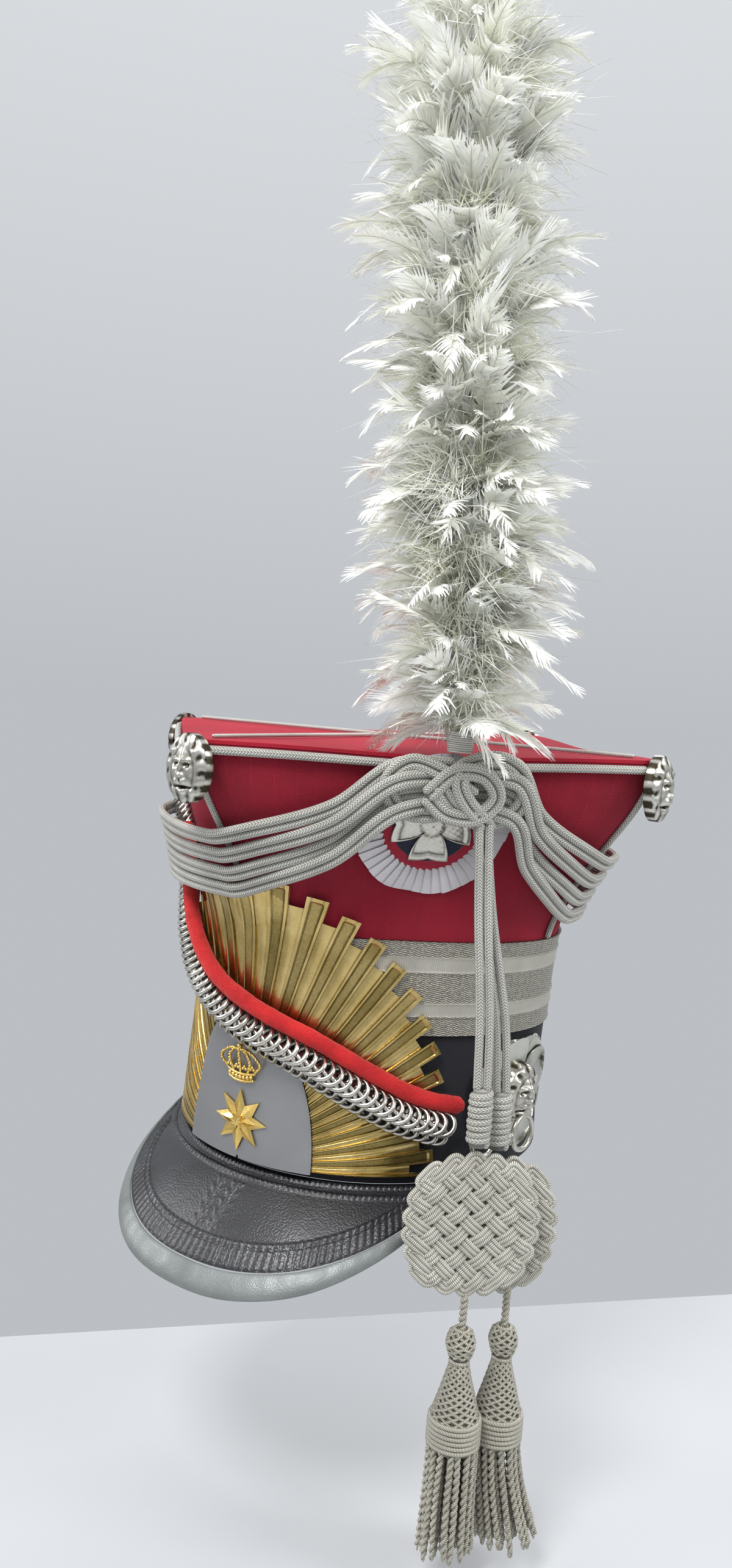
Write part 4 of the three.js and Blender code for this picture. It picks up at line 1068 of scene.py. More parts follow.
def ring(piece, centre, normal, radius, wire, segments=22, sides=6, tone=0.0):
    a = unit(np.cross(normal, [0.31, 0.2, 0.93]))
    b = np.cross(normal, a)
    turn = round_steps(segments)
    path = centre + (a[None] * np.cos(turn)[:, None] + b[None] * np.sin(turn)[:, None]) * radius
    piece.tube(path, wire, sides, np.broadcast_to(normal, path.shape), closed=True, tone=tone)


def chin_chain():
    piece = Piece()
    t = np.linspace(0, 1, 400)
    line = on_route(t, 0, STRAP_THICK)
    along = lengths(line)
    count = int((along[-1] - 2 * CHAIN["margin"]) / CHAIN["pitch"])
    rng = np.random.default_rng(3)
    for aside, lift, roll, yaw in CHAIN_ROWS:
        for i in range(count + 1):
            step = i + (0.5 if aside < 0 else 0)
            at = np.interp(CHAIN["margin"] + step * CHAIN["pitch"], along, t)
            centre = on_route(at, aside, STRAP_THICK + lift)
            ahead = unit(on_route(min(at + 0.004, 1), 0, 0) - on_route(max(at - 0.004, 0), 0, 0))
            out = outward_of(centre)
            across = unit(np.cross(out, ahead))
            out = np.cross(ahead, across)
            yawed = Matrix.Rotation(math.radians(yaw + rng.uniform(-3, 3)), 3, Vector(across))
            rolled = Matrix.Rotation(math.radians(roll + rng.uniform(-4, 4)), 3, Vector(ahead))
            ring(piece, centre, np.array(yawed @ rolled @ Vector(out)), CHAIN["radius"], CHAIN["wire"],
                 tone=rng.uniform(0, 0.2))
    return piece


make("chin_chain_rings", chin_chain(), CHAIN_SILVER, "silver_metal", "chin_chain", weld=False, sharp=80)


LASHING = {"radius": 0.55, "aside": 3.4, "lift": 1.2, "wave": 1.0}


def lashing():
    piece = Piece()
    t = np.linspace(0.02, 0.98, 900)
    along = lengths(on_route(t, 0, 0))
    wave = along / CHAIN["pitch"] * math.pi
    out = STRAP_THICK + LASHING["lift"] + LASHING["wave"] * np.cos(wave * 2)
    piece.tube(on_route(t, LASHING["aside"] * np.sin(wave), out), LASHING["radius"], 5)
    return piece


make("lashing_thread", lashing(), THREAD, "red_felt", weld=False, sharp=180)


# Side rosettes, rings and hooks
def beside_rosette(hand, along, up, out):
    return on_body(hand * math.radians(ROSETTE["at"]) * MEAN_RADIUS + np.asarray(along, float),
                   ROSETTE["z"] + np.asarray(up, float), np.asarray(out, float))


def rosette(hand):
    piece = Piece()
    for i in range(ROSETTE["petals"]):
        middle = (i + 0.5) / ROSETTE["petals"] * 2 * math.pi
        s = np.linspace(0, 1, 22)[:, None]
        x = np.linspace(-1, 1, 15)[None]
        reach = ROSETTE["root"] + (ROSETTE["tip"] - ROSETTE["root"]) * (1 - (1 - s) ** 1.3)
        taper = np.clip((s - 0.42) / 0.58, 0, 1) ** 2.3
        width = ROSETTE["petal"] * np.sqrt(np.clip(1 - taper, 0, 1)) * smooth(s, -0.5, 0.4)
        right, away = x * width, reach - 1.6 * x * x * s
        along = away * math.sin(middle) + right * math.cos(middle)
        up = away * math.cos(middle) - right * math.sin(middle)
        crease = 0.6 * np.exp(-((x / 0.16) ** 2)) * smooth(s, 1.0, 0.5)
        cup = 1.5 * x * x * smooth(s, 0.1, 0.8) + 1.0 * s**3 - crease
        out = 1.3 + (0.9 if i % 2 else 0.0) + cup
        # Petals darken towards their roots under the head and along the middle crease: painted shade
        tone = np.clip(0.5 * smooth(s, 0.42, 0.2) + 0.25 * np.exp(-((x / 0.2) ** 2)) * smooth(s, 0.9, 0.3),
                       0, 1)
        piece.slab(beside_rosette(hand, along, up, out), beside_rosette(hand, along, up, out - 0.7),
                   tone=tone, flip=True)
    return piece


HEAD_RELIEF, HEAD_BACK = 13.0, 3.0


def rosette_head(hand):
    piece = Piece()
    x, y, h = lion_grid()
    along, up = x * ROSETTE["head"], y * (ROSETTE["head"] + 2)
    out = HEAD_BACK + HEAD_RELIEF * h - 2.0 * smooth(np.hypot(x, y), 0.9, 1.0)
    # The hollows of the head give the tone that darkens them: painted shade
    piece.slab(beside_rosette(hand, along, up, out), beside_rosette(hand, along, up, 0 * h + 1.0),
               wrap_u=True,
               tone=hollows(h), flip=True)
    return piece


def ring_piece(name, node, centre, radius, wire):
    piece = Piece()
    ring(piece, centre, outward_of(centre), radius, wire, 56, 12)
    return make(name, piece, SILVER, "silver_metal", node, weld=False, sharp=180)


for side, hand in (("left", 1), ("right", -1)):
    make(f"petals_{side}", rosette(hand), PETAL, "silver_metal", f"rosette_{side}", sharp=45)
    make(f"lion_head_{side}", rosette_head(hand), SILVER, "silver_metal", sharp=75)
    ring_piece(f"mouth_ring_{side}_round", f"mouth_ring_{side}",
               beside_rosette(hand, 0, -MOUTH_RING["below"], MOUTH_RING["lift"]), MOUTH_RING["radius"],
               MOUTH_RING["wire"])

BARREL_START = -(MOUTH_RING["radius"] + MOUTH_RING["wire"] + GAP) * 0.9


def on_hook(along, up=0.0, out=0.0):
    return beside_rosette(1, along, -MOUTH_RING["below"] + up, MOUTH_RING["lift"] + out)


def chain_hook():
    piece = Piece()
    along = np.linspace(BARREL_START + 1.5, BARREL_START - BARREL_LENGTH - 1.5, 60)
    path = on_hook(along)
    x = np.linspace(-1, 1, 60)
    radius = 2.0 + 0.9 * (bell(np.abs(x), 0.72, 0.12) + 0.6 * bell(x, 0.0, 0.2))
    piece.tube(path, radius, 16, outward_of(path))
    return piece


make("chain_hook_turned", chain_hook(), SILVER, "silver_metal", "chain_hook", weld=False, sharp=60)
ring_piece("chain_end_ring_round", "chain_end_ring",
           on_hook(BARREL_START - BARREL_LENGTH - (END_RING["radius"] + END_RING["wire"] + GAP) * 0.9),
           END_RING["radius"], END_RING["wire"])


HOOK = {"wire": 1.1, "eye": 3.2, "eye_wire": 1.0, "lift": 3.4, "inset": 1.4, "aside": 8, "z": 200}


def corner_hook():
    piece = Piece()
    start = on_route(1.0, 0, STRAP_THICK + HOOK["lift"])
    seat = body_point(CORNERS["right"], TOP_Z, BOSS["lift"] - HOOK["inset"])
    end = np.array([seat[0], seat[1] - HOOK["aside"], HOOK["z"]])
    middle = (start + end) / 2 + outward_of(start) * 1.5
    piece.tube(spaced(spline([start, middle, end], 40), 0.8), HOOK["wire"], 9)
    normal = unit(np.cross(end - start, outward_of(start)))
    ring(piece, start, normal, HOOK["eye"], HOOK["eye_wire"], 24, 8)
    return piece


make("chain_corner_hook_wire", corner_hook(), SILVER, "silver_metal", "chain_corner_hook", weld=False,
     sharp=180)


# Cockade: gathered ribbon, cloth disc and cross
def on_cockade(along, up, out):
    z = COCKADE["z"] + np.asarray(up, float)
    return on_face(COCKADE["along"] + np.asarray(along, float), z,
                   COCKADE["foot"] + COCKADE["lean"] * (np.asarray(up, float) + COCKADE["radius"]) + out)


def polar(r, turn):
    return r * np.sin(turn), r * np.cos(turn)


def cockade_ribbon():
    piece = Piece()
    pleats, each = 46, 10
    count = pleats * each
    turn = round_steps(count)[:, None]
    rng = np.random.default_rng(8)
    jitter = np.repeat(rng.uniform(-0.35, 0.35, pleats), each)[:, None]
    step = (np.arange(count) % each / each)[:, None]
    v = np.linspace(0, 1, 16)[None]
    outer = COCKADE["radius"] + 0.4 * np.sin(turn * 9) + 0.5 * np.sin(turn * 5 + 1) + jitter
    r = COCKADE["disc"] - 1 + (outer - COCKADE["disc"] + 1) * v
    depth = (1.5 - 0.75 * v) * (step**0.8) + 0.35 * np.sin(turn * 7 + 2) * v + 0.25 * jitter
    out = 0.9 + depth + 0.6 * np.sin(v * math.pi)
    # Each pleat darkens at its fold and the ribbon darkens towards the disc: painted shade
    tone = 0.75 * smooth(step, 0.12, 0.0) * (1 - 0.5 * v) + 0.25 * (1 - v) ** 3 + 0 * turn
    along, up = polar(r, turn)
    piece.relief(on_cockade, along, up, out, COCKADE_BACK, True, tone, us=np.arange(count + 1) * 0.5,
                 vs=v[0] * 14)
    return piece


make("cockade_pleats", cockade_ribbon(), RIBBON, "white_ribbon", "cockade_ribbon", sharp=50)


def cockade_disc():
    piece = Piece()
    turn = round_steps(120)[:, None]
    near, far = np.linspace(0.2, NAVY_RADIUS - 0.3, 14), np.linspace(NAVY_RADIUS + 1.1, COCKADE["disc"], 8)
    r = np.concatenate([near, [NAVY_RADIUS + 0.1, NAVY_RADIUS + 0.5], far])[None]
    along, up = polar(r, turn)
    edge = COCKADE["disc"]
    navy = 0.5 * smooth(r, NAVY_RADIUS + 0.5, NAVY_RADIUS - 0.1)
    out = 1.9 + navy - 0.6 * smooth(r, edge - 1, edge) + 0.08 * np.sin(turn * 11 + r) + 0 * turn
    tone = smooth(r, NAVY_RADIUS + 0.5, NAVY_RADIUS) + 0 * turn
    piece.relief(on_cockade, along, up, out, COCKADE_BACK, True, tone)
    return piece


make("cockade_disc_cloth", cockade_disc(), DISC_CLOTH, "red_felt", "cockade_disc", sharp=50)

CROSS = {"arm": 21, "notch": 17.5, "throat": 6.5, "half_arm": 27, "back": 2.5, "face": 3.0, "boss": 5.0}


def cross_radius(degrees):
    a = np.abs((degrees + 45) % 90 - 45)
    arm, half = CROSS["arm"], CROSS["half_arm"]
    flare = CROSS["notch"] + (arm - CROSS["notch"]) * a / half
    back = arm + (CROSS["throat"] - arm) * (a - half) / (45 - half)
    return np.where(a <= half, flare, back)


def cockade_cross():
    piece = Piece()
    degrees = np.arange(0, 360, 1.5)
    turn = np.radians(degrees)[:, None]
    v = np.concatenate([np.linspace(0.02, 0.78, 16), [0.82, 0.86, 0.93, 0.97, 1.0]])[None]
    r = cross_radius(degrees)[:, None] * v
    along, up = polar(r, turn)
    rim = smooth(v, 0.79, 0.87) * smooth(v, 1.02, 0.95)
    hammer = 0.16 * np.sin(along * 1.7 + 0.6 * up) * np.sin(up * 1.9 - 0.4 * along)
    boss_h = 0.9 * smooth(r, CROSS["boss"] + 0.2, CROSS["boss"] - 0.6)
    out = CROSS["face"] + 0.75 * rim + hammer * (1 - rim) + boss_h - 0.5 * smooth(v, 0.97, 1.0)
    # A dark line inside the raised rim and a dark ring round the boss: painted shade in the grooves
    tone = np.clip(0.7 * bell(v, 0.77, 0.035) + 0.6 * bell(r, CROSS["boss"] + 0.6, 0.5) + 0.12, 0,
                   1) + 0 * turn
    piece.relief(on_cockade, along, up, out, CROSS["back"], True, tone)
    return piece


make("cockade_cross_silver", cockade_cross(), SILVER, "silver_metal", "cockade_cross", sharp=50)

# Plume of curled feathers on its socket
PLUME_FOOT = beside_face(PLUME["along"], PLUME["out"], PLUME["foot"])
PLUME_AXIS = beside_face(PLUME["lean_along"], PLUME["lean_out"], PLUME["top"] - PLUME["foot"])
PLUME_LENGTH = float(np.linalg.norm(PLUME_AXIS))
AXIS = PLUME_AXIS / PLUME_LENGTH
AXIS_SIDE = unit(np.cross(AXIS, [0.0, 1.0, 0.0]))
AXIS_FRONT = np.cross(AXIS, AXIS_SIDE)
GOLDEN_ANGLE = 2.39996
FEATHER_BARBS, FEATHER_LONGEST = 26, 72


def feather(piece, rng, root, ahead, curl, length, width, barbs, tone, loose):
    """One feather: a curved shaft with two vanes of barbs that part into a few groups."""
    s = np.linspace(0, 1, 10)[:, None]
    shaft = root + length * (ahead * (s - 0.14 * s**3) + curl * s**2.3)
    tangent = unit(np.gradient(shaft, axis=0))
    side = unit(np.cross(tangent, np.cross(np.cross(ahead, curl), ahead) + 1e-4))
    roll = rng.normal(0, 0.45)
    side = unit(side * math.cos(roll) + np.cross(tangent, side) * math.sin(roll))
    # The shaft is darker at its root: painted shade inside the plume
    piece.tube(shaft, np.linspace(0.4, 0.1, 10), 3, tone=np.linspace(tone * 0.4, tone, 10))
    b = np.linspace(0.06, 0.995, barbs)
    k = np.minimum((b * 9).astype(int), 8)
    w = (b * 9 - k)[:, None]
    at, dirs, sides = (m[k] * (1 - w) + m[k + 1] * w for m in (shaft, tangent, side))
    half = dirs * (length * 0.95 / barbs)
    for hand in (-1, 1):
        groups = rng.integers(4, 8)
        group = np.minimum((b * groups + rng.uniform(-0.3, 0.3)).astype(int), groups - 1)
        swing = rng.normal(0, 6 + 12 * loose, groups)[group] + rng.normal(0, 1.5 + 6 * loose, barbs)
        lift = rng.normal(-0.1, 0.1 + 0.2 * loose, groups)[group] + rng.normal(0, 0.05, barbs)
        full = width * np.sin(math.pi * np.clip(b * 0.80 + 0.16, 0, 1)) ** 0.55
        reach = (full * rng.uniform(0.82, 1.1, groups)[group] * rng.uniform(0.9, 1.08, barbs))[:, None]
        spread = np.radians(np.clip(64 - 42 * b + swing, 4, 88))[:, None]
        go = dirs * np.cos(spread) + sides * hand * np.sin(spread)
        droop = np.cross(dirs, sides) * lift[:, None]
        mid = at + go * reach * 0.55 + droop * reach * 0.3
        tip = at + go * reach * 0.95 + dirs * reach * 0.3 + droop * reach
        edges = np.stack([np.stack([at - half * 0.6, at + half * 0.6], 1),
                          np.stack([mid - half * 0.62, mid + half * 0.62], 1),
                          np.stack([tip - half * 0.16, tip + half * 0.16], 1)], 1)
        # Barbs are darker at their roots and lighter outwards: painted shade inside the plume
        shade = np.array([[0.45, 0.85, 1.1]]) * tone + 0.22 * b[:, None] - 0.08
        strips(piece, edges, shade)


def strips(piece, edges, shade):
    """Adds tapered strips, each of three crosswise pairs of points."""
    count = len(edges)
    piece.points.append(edges.reshape(-1, 3))
    base = np.arange(count)[:, None] * 6 + np.array([[0, 1, 3, 2, 2, 3, 5, 4]])
    piece.quads.append(base.reshape(-1, 4) + piece.count)
    piece.flow.append(np.zeros((count * 2, 4, 2)))
    piece.tone.append(np.repeat(np.broadcast_to(shade, (count, 3)).ravel(), 2))
    piece.count += count * 6


def plume_dir(turn):
    return AXIS_SIDE * math.cos(turn) + AXIS_FRONT * math.sin(turn)


def plume_feathers():
    piece = Piece()
    rng = np.random.default_rng(PLUME_SEED)
    for i in range(PLUME_TUFTS):
        up = PLUME_LOW + (PLUME_HIGH - PLUME_LOW) * (i + rng.uniform(0, 1)) / PLUME_TUFTS
        turn = i * GOLDEN_ANGLE + rng.normal(0, 0.35)
        radius = np.interp(up, PLUME_UP, PLUME_RADIUS)
        rise = np.interp(up, [0, 0.1, 0.5, 0.8, 0.95], [0.0, 0.25, 0.55, 0.9, 1.3]) + rng.normal(0, 0.16)
        core = PLUME_FOOT + PLUME_AXIS * max(up - 0.06, 0.004)
        for _ in range(3):
            out = plume_dir(turn + rng.normal(0, 0.4))
            lift = rise + rng.normal(0, 0.22)
            ahead = unit(out * math.cos(lift) + AXIS * math.sin(lift))
            reach = radius * rng.uniform(0.8, 1.22)
            length = min(reach / max(math.cos(lift) + 0.25, 0.55), FEATHER_LONGEST)
            length = min(length, (1.03 - up) * PLUME_LENGTH / max(math.sin(lift) * 0.8, 0.2))
            curl = (out * rng.uniform(0.0, 0.45) - AXIS * rng.uniform(0.2, 0.9)) * rng.uniform(0.3, 0.8)
            feather(piece, rng, core + out * 3, ahead, curl, length,
                    rng.uniform(11, 17) * min(1, length / 48), FEATHER_BARBS,
                    rng.uniform(0.7, 1.1), rng.choice([0.05, 0.2, 0.6]))
    return piece


def plume_down():
    """Soft down between the feathers, thicker near the core, and the core itself."""
    piece = Piece()
    rng = np.random.default_rng(DOWN_SEED)
    core = PLUME_FOOT + PLUME_AXIS * np.linspace(0, 0.94, 30)[:, None]
    # The core gets the darkest feather colour: painted shade inside the plume
    piece.tube(core, np.linspace(5.5, 2.5, 30), 8, tone=0.05)
    for _ in range(DOWN_TUFTS):
        up = rng.uniform(0.0, 0.93)
        turn = rng.uniform(0, 2 * math.pi)
        radius = np.interp(up, PLUME_UP, PLUME_RADIUS)
        out = plume_dir(turn)
        root = PLUME_FOOT + PLUME_AXIS * up + out * rng.uniform(2, 0.42 * radius)
        s = np.array([0, 0.5, 1.0])[None, :, None]
        way = unit(out[None] * rng.uniform(0.3, 1.0, (DOWN_FIBRES, 1)) + AXIS[None]
                   * rng.normal(0.25, 0.5, (DOWN_FIBRES, 1))
                   + rng.normal(0, 0.45, (DOWN_FIBRES, 3)))
        bend = rng.normal(0, 0.35, (DOWN_FIBRES, 3)) - AXIS[None] * 0.25
        length = rng.uniform(0.22, 0.5, (DOWN_FIBRES, 1, 1)) * max(radius, 16)
        path = root + (way[:, None] * s + bend[:, None] * s**2) * length
        taper = np.array([0.32, 0.26, 0.05])[None, :, None]
        side = unit(np.cross(way, rng.normal(0, 1, (DOWN_FIBRES, 3))))[:, None] * taper
        edges = np.stack([path - side, path + side], 2)
        # Each fibre is darker at its root: painted shade inside the plume
        strips(piece, edges, rng.uniform(0.25, 0.9) + np.array([-0.15, 0.05, 0.25]))
    return piece


PLUME_SEED, PLUME_TUFTS, PLUME_LOW, PLUME_HIGH = 31, 150, 0.05, 0.99
DOWN_SEED, DOWN_TUFTS, DOWN_FIBRES = 32, 820, 22
make("plume_feathers", plume_feathers(), FEATHER, "feather", "plume", weld=False, sharp=180)
make("plume_down", plume_down(), FEATHER, "feather", weld=False, sharp=180)


SOCKET = {"foot": 219.1, "top": 229.2, "foot_radius": 5.5, "top_radius": 7.3, "rows": 34}


def plume_socket():
    piece = Piece()
    foot = beside_face(PLUME["along"], PLUME["out"], 0)
    z = np.linspace(SOCKET["foot"], SOCKET["top"], SOCKET["rows"])
    radius = np.linspace(SOCKET["foot_radius"], SOCKET["top_radius"],
                         SOCKET["rows"]) + 0.35 * np.abs(np.sin(z * 2.1))
    piece.turned(foot, np.concatenate([z[:1], z, z[-1:]]), np.concatenate([[0.3], radius, [0.3]]), 36)
    return piece


make("plume_socket_wound", plume_socket(), PIPING, "feather", "plume_socket", sharp=70)


# Cap lines and their knot, as pairs of braided cords
def pair(piece, path, normals, half, radius, sides=9):
    ahead = unit(np.gradient(path, axis=0))
    across = unit(np.cross(ahead, normals))
    for hand in (-1, 1):
        piece.tube(path + across * half * hand, radius, sides, normals, start=0.6 * hand)


LINE_BENDS = (-30, -12, -4, 0, 4, 12, 30)

# Where each line's two ends go under the knot, along and up from its middle
KNOT_ENDS = [((-2, 12), (6, 12)), ((-4, 6), (8, 6)), ((-6, -1), (8, 0)), ((-8, -7), (2, -8))]


def cap_line(number, line):
    left, front, back, side, right = line
    knot = LINE["over"] if number % 2 else LINE["knot"]
    stops = (front, back, back, side)
    first, last = KNOT_ENDS[number]
    route = [(face_angle(KNOT["along"] + first[0], KNOT["z"] + first[1]), KNOT["z"] + first[1],
              LINE["knot"] - 2),
             (face_angle(KNOT["along"] - LINE["edge"] + 8, left), left - 2, knot - 2),
             (24, left + (front - left) * 0.55, knot * 0.8),
             (9, left + (front - left) * 0.86, LINE["lift"] * 1.1)]
    for k in range(4):
        for bend in LINE_BENDS:
            at = -90 * k - bend
            if -270 <= at <= 0:
                j = min(int(-at // 90), 2)
                z = stops[j] + (stops[j + 1] - stops[j]) * (-at / 90 - j)
                rise = HUMP["rise"] * math.exp(-(((at - HUMP["at"]) / HUMP["spread"]) ** 2))
                route.append((at, z, LINE["lift"] + rise))
    route += [(81 - 360, side + (right - side) * 0.14, LINE["lift"] * 1.1),
              (68 - 360, side + (right - side) * 0.5, knot * 0.8),
              (face_angle(KNOT["along"] + LINE["edge"] - 8, right) - 360, right - 3 * (number == 3),
               knot - 2),
              (face_angle(KNOT["along"] + last[0], KNOT["z"] + last[1]) - 360, KNOT["z"] + last[1],
               LINE["knot"] - 2)]
    route = np.array(route, float)
    fine = spaced(spline(route * [1.7, 1, 1], 700), 1.2) / [1.7, 1, 1]
    piece = Piece()
    pair(piece, body_point(fine[:, 0], fine[:, 1], fine[:, 2]), body_normal(fine[:, 0], fine[:, 1]),
         LINE["radius"],
         LINE["radius"])
    return piece


for number, line in enumerate(CAP_LINES):
    make_cord(f"cap_line_{number + 1}_cords", cap_line(number, line), BRAID, f"cap_line_{number + 1}")

# Knot loops: along, up and out for each point, from the knot's middle
KNOT_LOOPS = [
    [(4, -6, 13), (-10, -13, 13), (-24, -10, 13), (-29, 3, 13), (-20, 13, 13.5), (-6, 8, 16), (6, -2, 18)],
    [(-6, 4, 14), (6, 14, 14), (20, 15, 14), (30, 5, 14), (28, -9, 14), (14, -16, 14.5), (0, -9, 17),
     (-8, 2, 18)],
    [(-12, -2, 18), (-2, 9, 19), (10, 8, 19), (16, -3, 19), (8, -13, 19), (-4, -12, 18), (-12, -4, 17)],
    [(2, 12, 17), (0, 3, 20), (4, -6, 20), (12, -15, 18), (16, -19, 15)],
]


def line_knot():
    piece = Piece()
    for loop in KNOT_LOOPS:
        p = spaced(spline(np.array(loop, float), 160), 1.0)
        at = face_angle(KNOT["along"] + p[:, 0], KNOT["z"] + p[:, 1])
        pair(piece, body_point(at, KNOT["z"] + p[:, 1], p[:, 2]), body_normal(at, KNOT["z"] + p[:, 1]),
             2.15, 2.1)
    return piece


make_cord("line_knot_loops", line_knot(), BRAID, "line_knot")


# Slides of wound cord
def slide(hang):
    piece = Piece()
    centre = beside_face(hang["along"], hang["out"], -hang["drop"])
    t = np.linspace(0, 1, 330)
    turns, wound = 8.3, 1.65
    turn = t * turns * 2 * math.pi
    inside = SLIDE["top"] - SLIDE["bottom"] - 2 * wound
    z = SLIDE["bottom"] + wound + inside * t + 0.25 * np.sin(turn * 0.5)
    swell = SLIDE["radius"] - wound + 0.35 * np.sin(t * math.pi) + 0.15 * np.sin(turn * 0.37)
    path = centre + np.stack([swell * np.cos(turn), swell * np.sin(turn), z], 1)
    piece.tube(path, wound * 1.05, 8, unit(path - centre - np.stack([0 * z, 0 * z, z], 1)))
    piece.turned(centre, [SLIDE["bottom"], SLIDE["bottom"] + 0.5, SLIDE["top"] - 0.5, SLIDE["top"]],
                 [0.3, 4.2, 4.2, 0.3], 16)
    return piece


# Flounders: one closed line woven over and under across a round mat, as three cords side by side
WEAVE = {"columns": 10, "rows": 12, "cord": 1.2, "height": 1.5, "rim": 3.4, "spacing": 2.15, "raised": 0.25}


def woven_line():
    """The mat's line in shares of its half sizes, and its height over or under."""
    k_size, l_size = WEAVE["columns"], WEAVE["rows"]
    units = k_size * l_size
    t = np.arange(units * 9) / 9.0 + 0.5 / 9

    def bounce(x, size):
        return size - np.abs(x % (2 * size) - size)

    k, l = bounce(t, k_size), bounce(t + 1, l_size)
    direction = np.where((t % (2 * k_size) < k_size) == ((t + 1) % (2 * l_size) < l_size), 1.0, -1.0)
    fade = smooth(np.minimum(k, k_size - k), 0, 0.9) * smooth(np.minimum(l, l_size - l), 0, 0.9)
    over = direction * np.cos(math.pi * k) * fade
    window = np.hanning(13)
    window /= window.sum()

    def blur(values):
        wrapped = np.concatenate([values[-6:], values, values[:6]])
        return np.convolve(wrapped, window, "valid")

    x, y = blur(k) / k_size * 2 - 1, blur(l) / l_size * 2 - 1
    x, y = x * 1.03, y * 1.03
    return x * np.sqrt(1 - y * y / 2.3), y * np.sqrt(1 - x * x / 2.3), blur(over)


def flounder(hang):
    piece = Piece()
    x, y, over = woven_line()
    half = FLOUNDER["half_width"] - WEAVE["rim"], FLOUNDER["half_height"] - WEAVE["rim"]
    sag = 1.2 * x * x - 1.0 * y * y
    along, z = hang["along"] + x * half[0], FLOUNDER["z"] - hang["drop"] + y * half[1]
    path = beside_face(along, hang["out"] + over * WEAVE["height"] + sag, z)
    ahead = unit(np.roll(path, -1, 0) - np.roll(path, 1, 0))
    out = np.broadcast_to(beside_face(0, 1, 0), path.shape)
    across = unit(np.cross(ahead, out))
    rng = np.random.default_rng(int(hang["along"]))
    for lane in (-1, 0, 1):
        line = path + across * lane * WEAVE["spacing"] + out * (0 if lane else WEAVE["raised"])
        piece.tube(line, WEAVE["cord"], 6, out, closed=True, tone=rng.uniform(-0.25, 0.25))
    return piece


# Tassels: twisted cord, netted ball and bell, wound band and bullion fringe
def twisted(piece, path, radius, pitch, plies, sides=5, phase=0.0, tone=0.0):
    ahead = unit(np.gradient(path, axis=0))
    n = across_of(ahead)
    b = np.cross(ahead, n)
    turn = lengths(path) / pitch * 2 * math.pi
    for ply in range(plies):
        a = turn + phase + ply * 2 * math.pi / plies
        piece.tube(path + (n * np.cos(a)[:, None] + b * np.sin(a)[:, None]) * radius * 0.9, radius, sides,
                   tone=tone)


# Fringe rows: radius, count. Nets: foot, top, strands, turns. Hoops: height, radius, thickness
BULLIONS = [(11.3, 17), (7.4, 11), (3.4, 5)]
NETS = [(-71.5, -59.0, 8, 0.5), (-101.5, -74.5, 11, 0.8)]
BAND_HOOPS = [(-104.6 - 2.35 * i, 12.3, 1.25) for i in range(5)]
HOOPS = [(-102.4, 12.1, 1.15), *BAND_HOOPS, (-74.2, 4.4, 0.9), (-58.8, 3.4, 0.9)]
FRINGE_TOP, FRINGE_LENGTH = -115, 53
NET_STEPS, TASSEL_SEED = 26, 40


def tassel_radius(z):
    return np.interp(-z, [-v for v in TASSEL_Z], TASSEL_R)


def tassel(hang, seed):
    piece = Piece()
    rng = np.random.default_rng(seed)
    centre = beside_face(hang["t_along"], hang["t_out"], -hang["drop"])
    aside = beside_face(1, 0, 0)
    path = centre + UP * np.linspace(hang["top"] + 3, -59, 30)[:, None]
    twisted(piece, path, 1.1, 6.0, 2, 7)
    zs = np.linspace(TASSEL_Z[0], TASSEL_Z[-1], 60)
    rs = tassel_radius(zs)
    # The core under the nets takes the darkest thread colour: painted shade in the gaps of the net
    piece.turned(centre, np.concatenate([zs[::-1], zs[:1]]), np.concatenate([rs[::-1] - 0.9, [0.3]]), 28,
                 tone=-1.6)
    for low, high, strands, turns in NETS:
        z = np.linspace(high, low, NET_STEPS)
        r = tassel_radius(z)
        for i in range(strands):
            for hand in (-1, 1):
                a = 2 * math.pi * (i / strands + hand * turns * np.linspace(0, 1, NET_STEPS))
                phase = 0 if hand > 0 else math.pi
                weave = 0.25 * np.sin(np.linspace(0, turns * strands, NET_STEPS) * 2 * math.pi + phase)
                net = np.stack([(r - 0.2 + weave) * np.cos(a), (r - 0.2 + weave) * np.sin(a), z], 1)
                piece.tube(centre + net, 0.78, 5, tone=rng.uniform(-0.1, 0.15))
    for z, r, thick in HOOPS:
        a = round_steps(40)
        hoop = np.stack([r * np.cos(a), r * np.sin(a), z + 0.12 * np.sin(a * 3)], 1)
        piece.tube(centre + hoop, thick, 6, closed=True, tone=0.25)
    for radius, count in BULLIONS:
        for i in range(count):
            a = 2 * math.pi * (i + rng.uniform(-0.2, 0.2)) / count
            away = np.array([math.cos(a), math.sin(a), 0])
            length = FRINGE_LENGTH + rng.uniform(-5, 2.5)
            s = np.linspace(0, 1, 42)[:, None]
            flare = rng.uniform(-0.6, 1.6)
            lean = aside * hang["splay"] * s**1.5 * (1 + 0.35 * (away @ aside))
            drop = UP * (FRINGE_TOP - length * s * (1 - 0.004 * hang["splay"]))
            bow = np.cross(away, [0, 0, 1]) * rng.normal(0, 0.7) * np.sin(s * 3)
            sway = away * (radius + flare * s**2) + bow
            line = centre + drop + sway + lean
            twisted(piece, line, 0.98, 8.0, 2, 5, rng.uniform(0, 6), rng.uniform(-0.2, 0.2))
            if radius > 7:
                loop = round_steps(12)
                tangent = np.cross(away, [0, 0, 1])
                oval = tangent * np.cos(loop)[:, None] * 0.9 + UP * np.sin(loop)[:, None] * 1.5
                eye = line[-1] + oval - [0, 0, 1.2]
                piece.tube(eye, 0.5, 5, closed=True)
    return piece


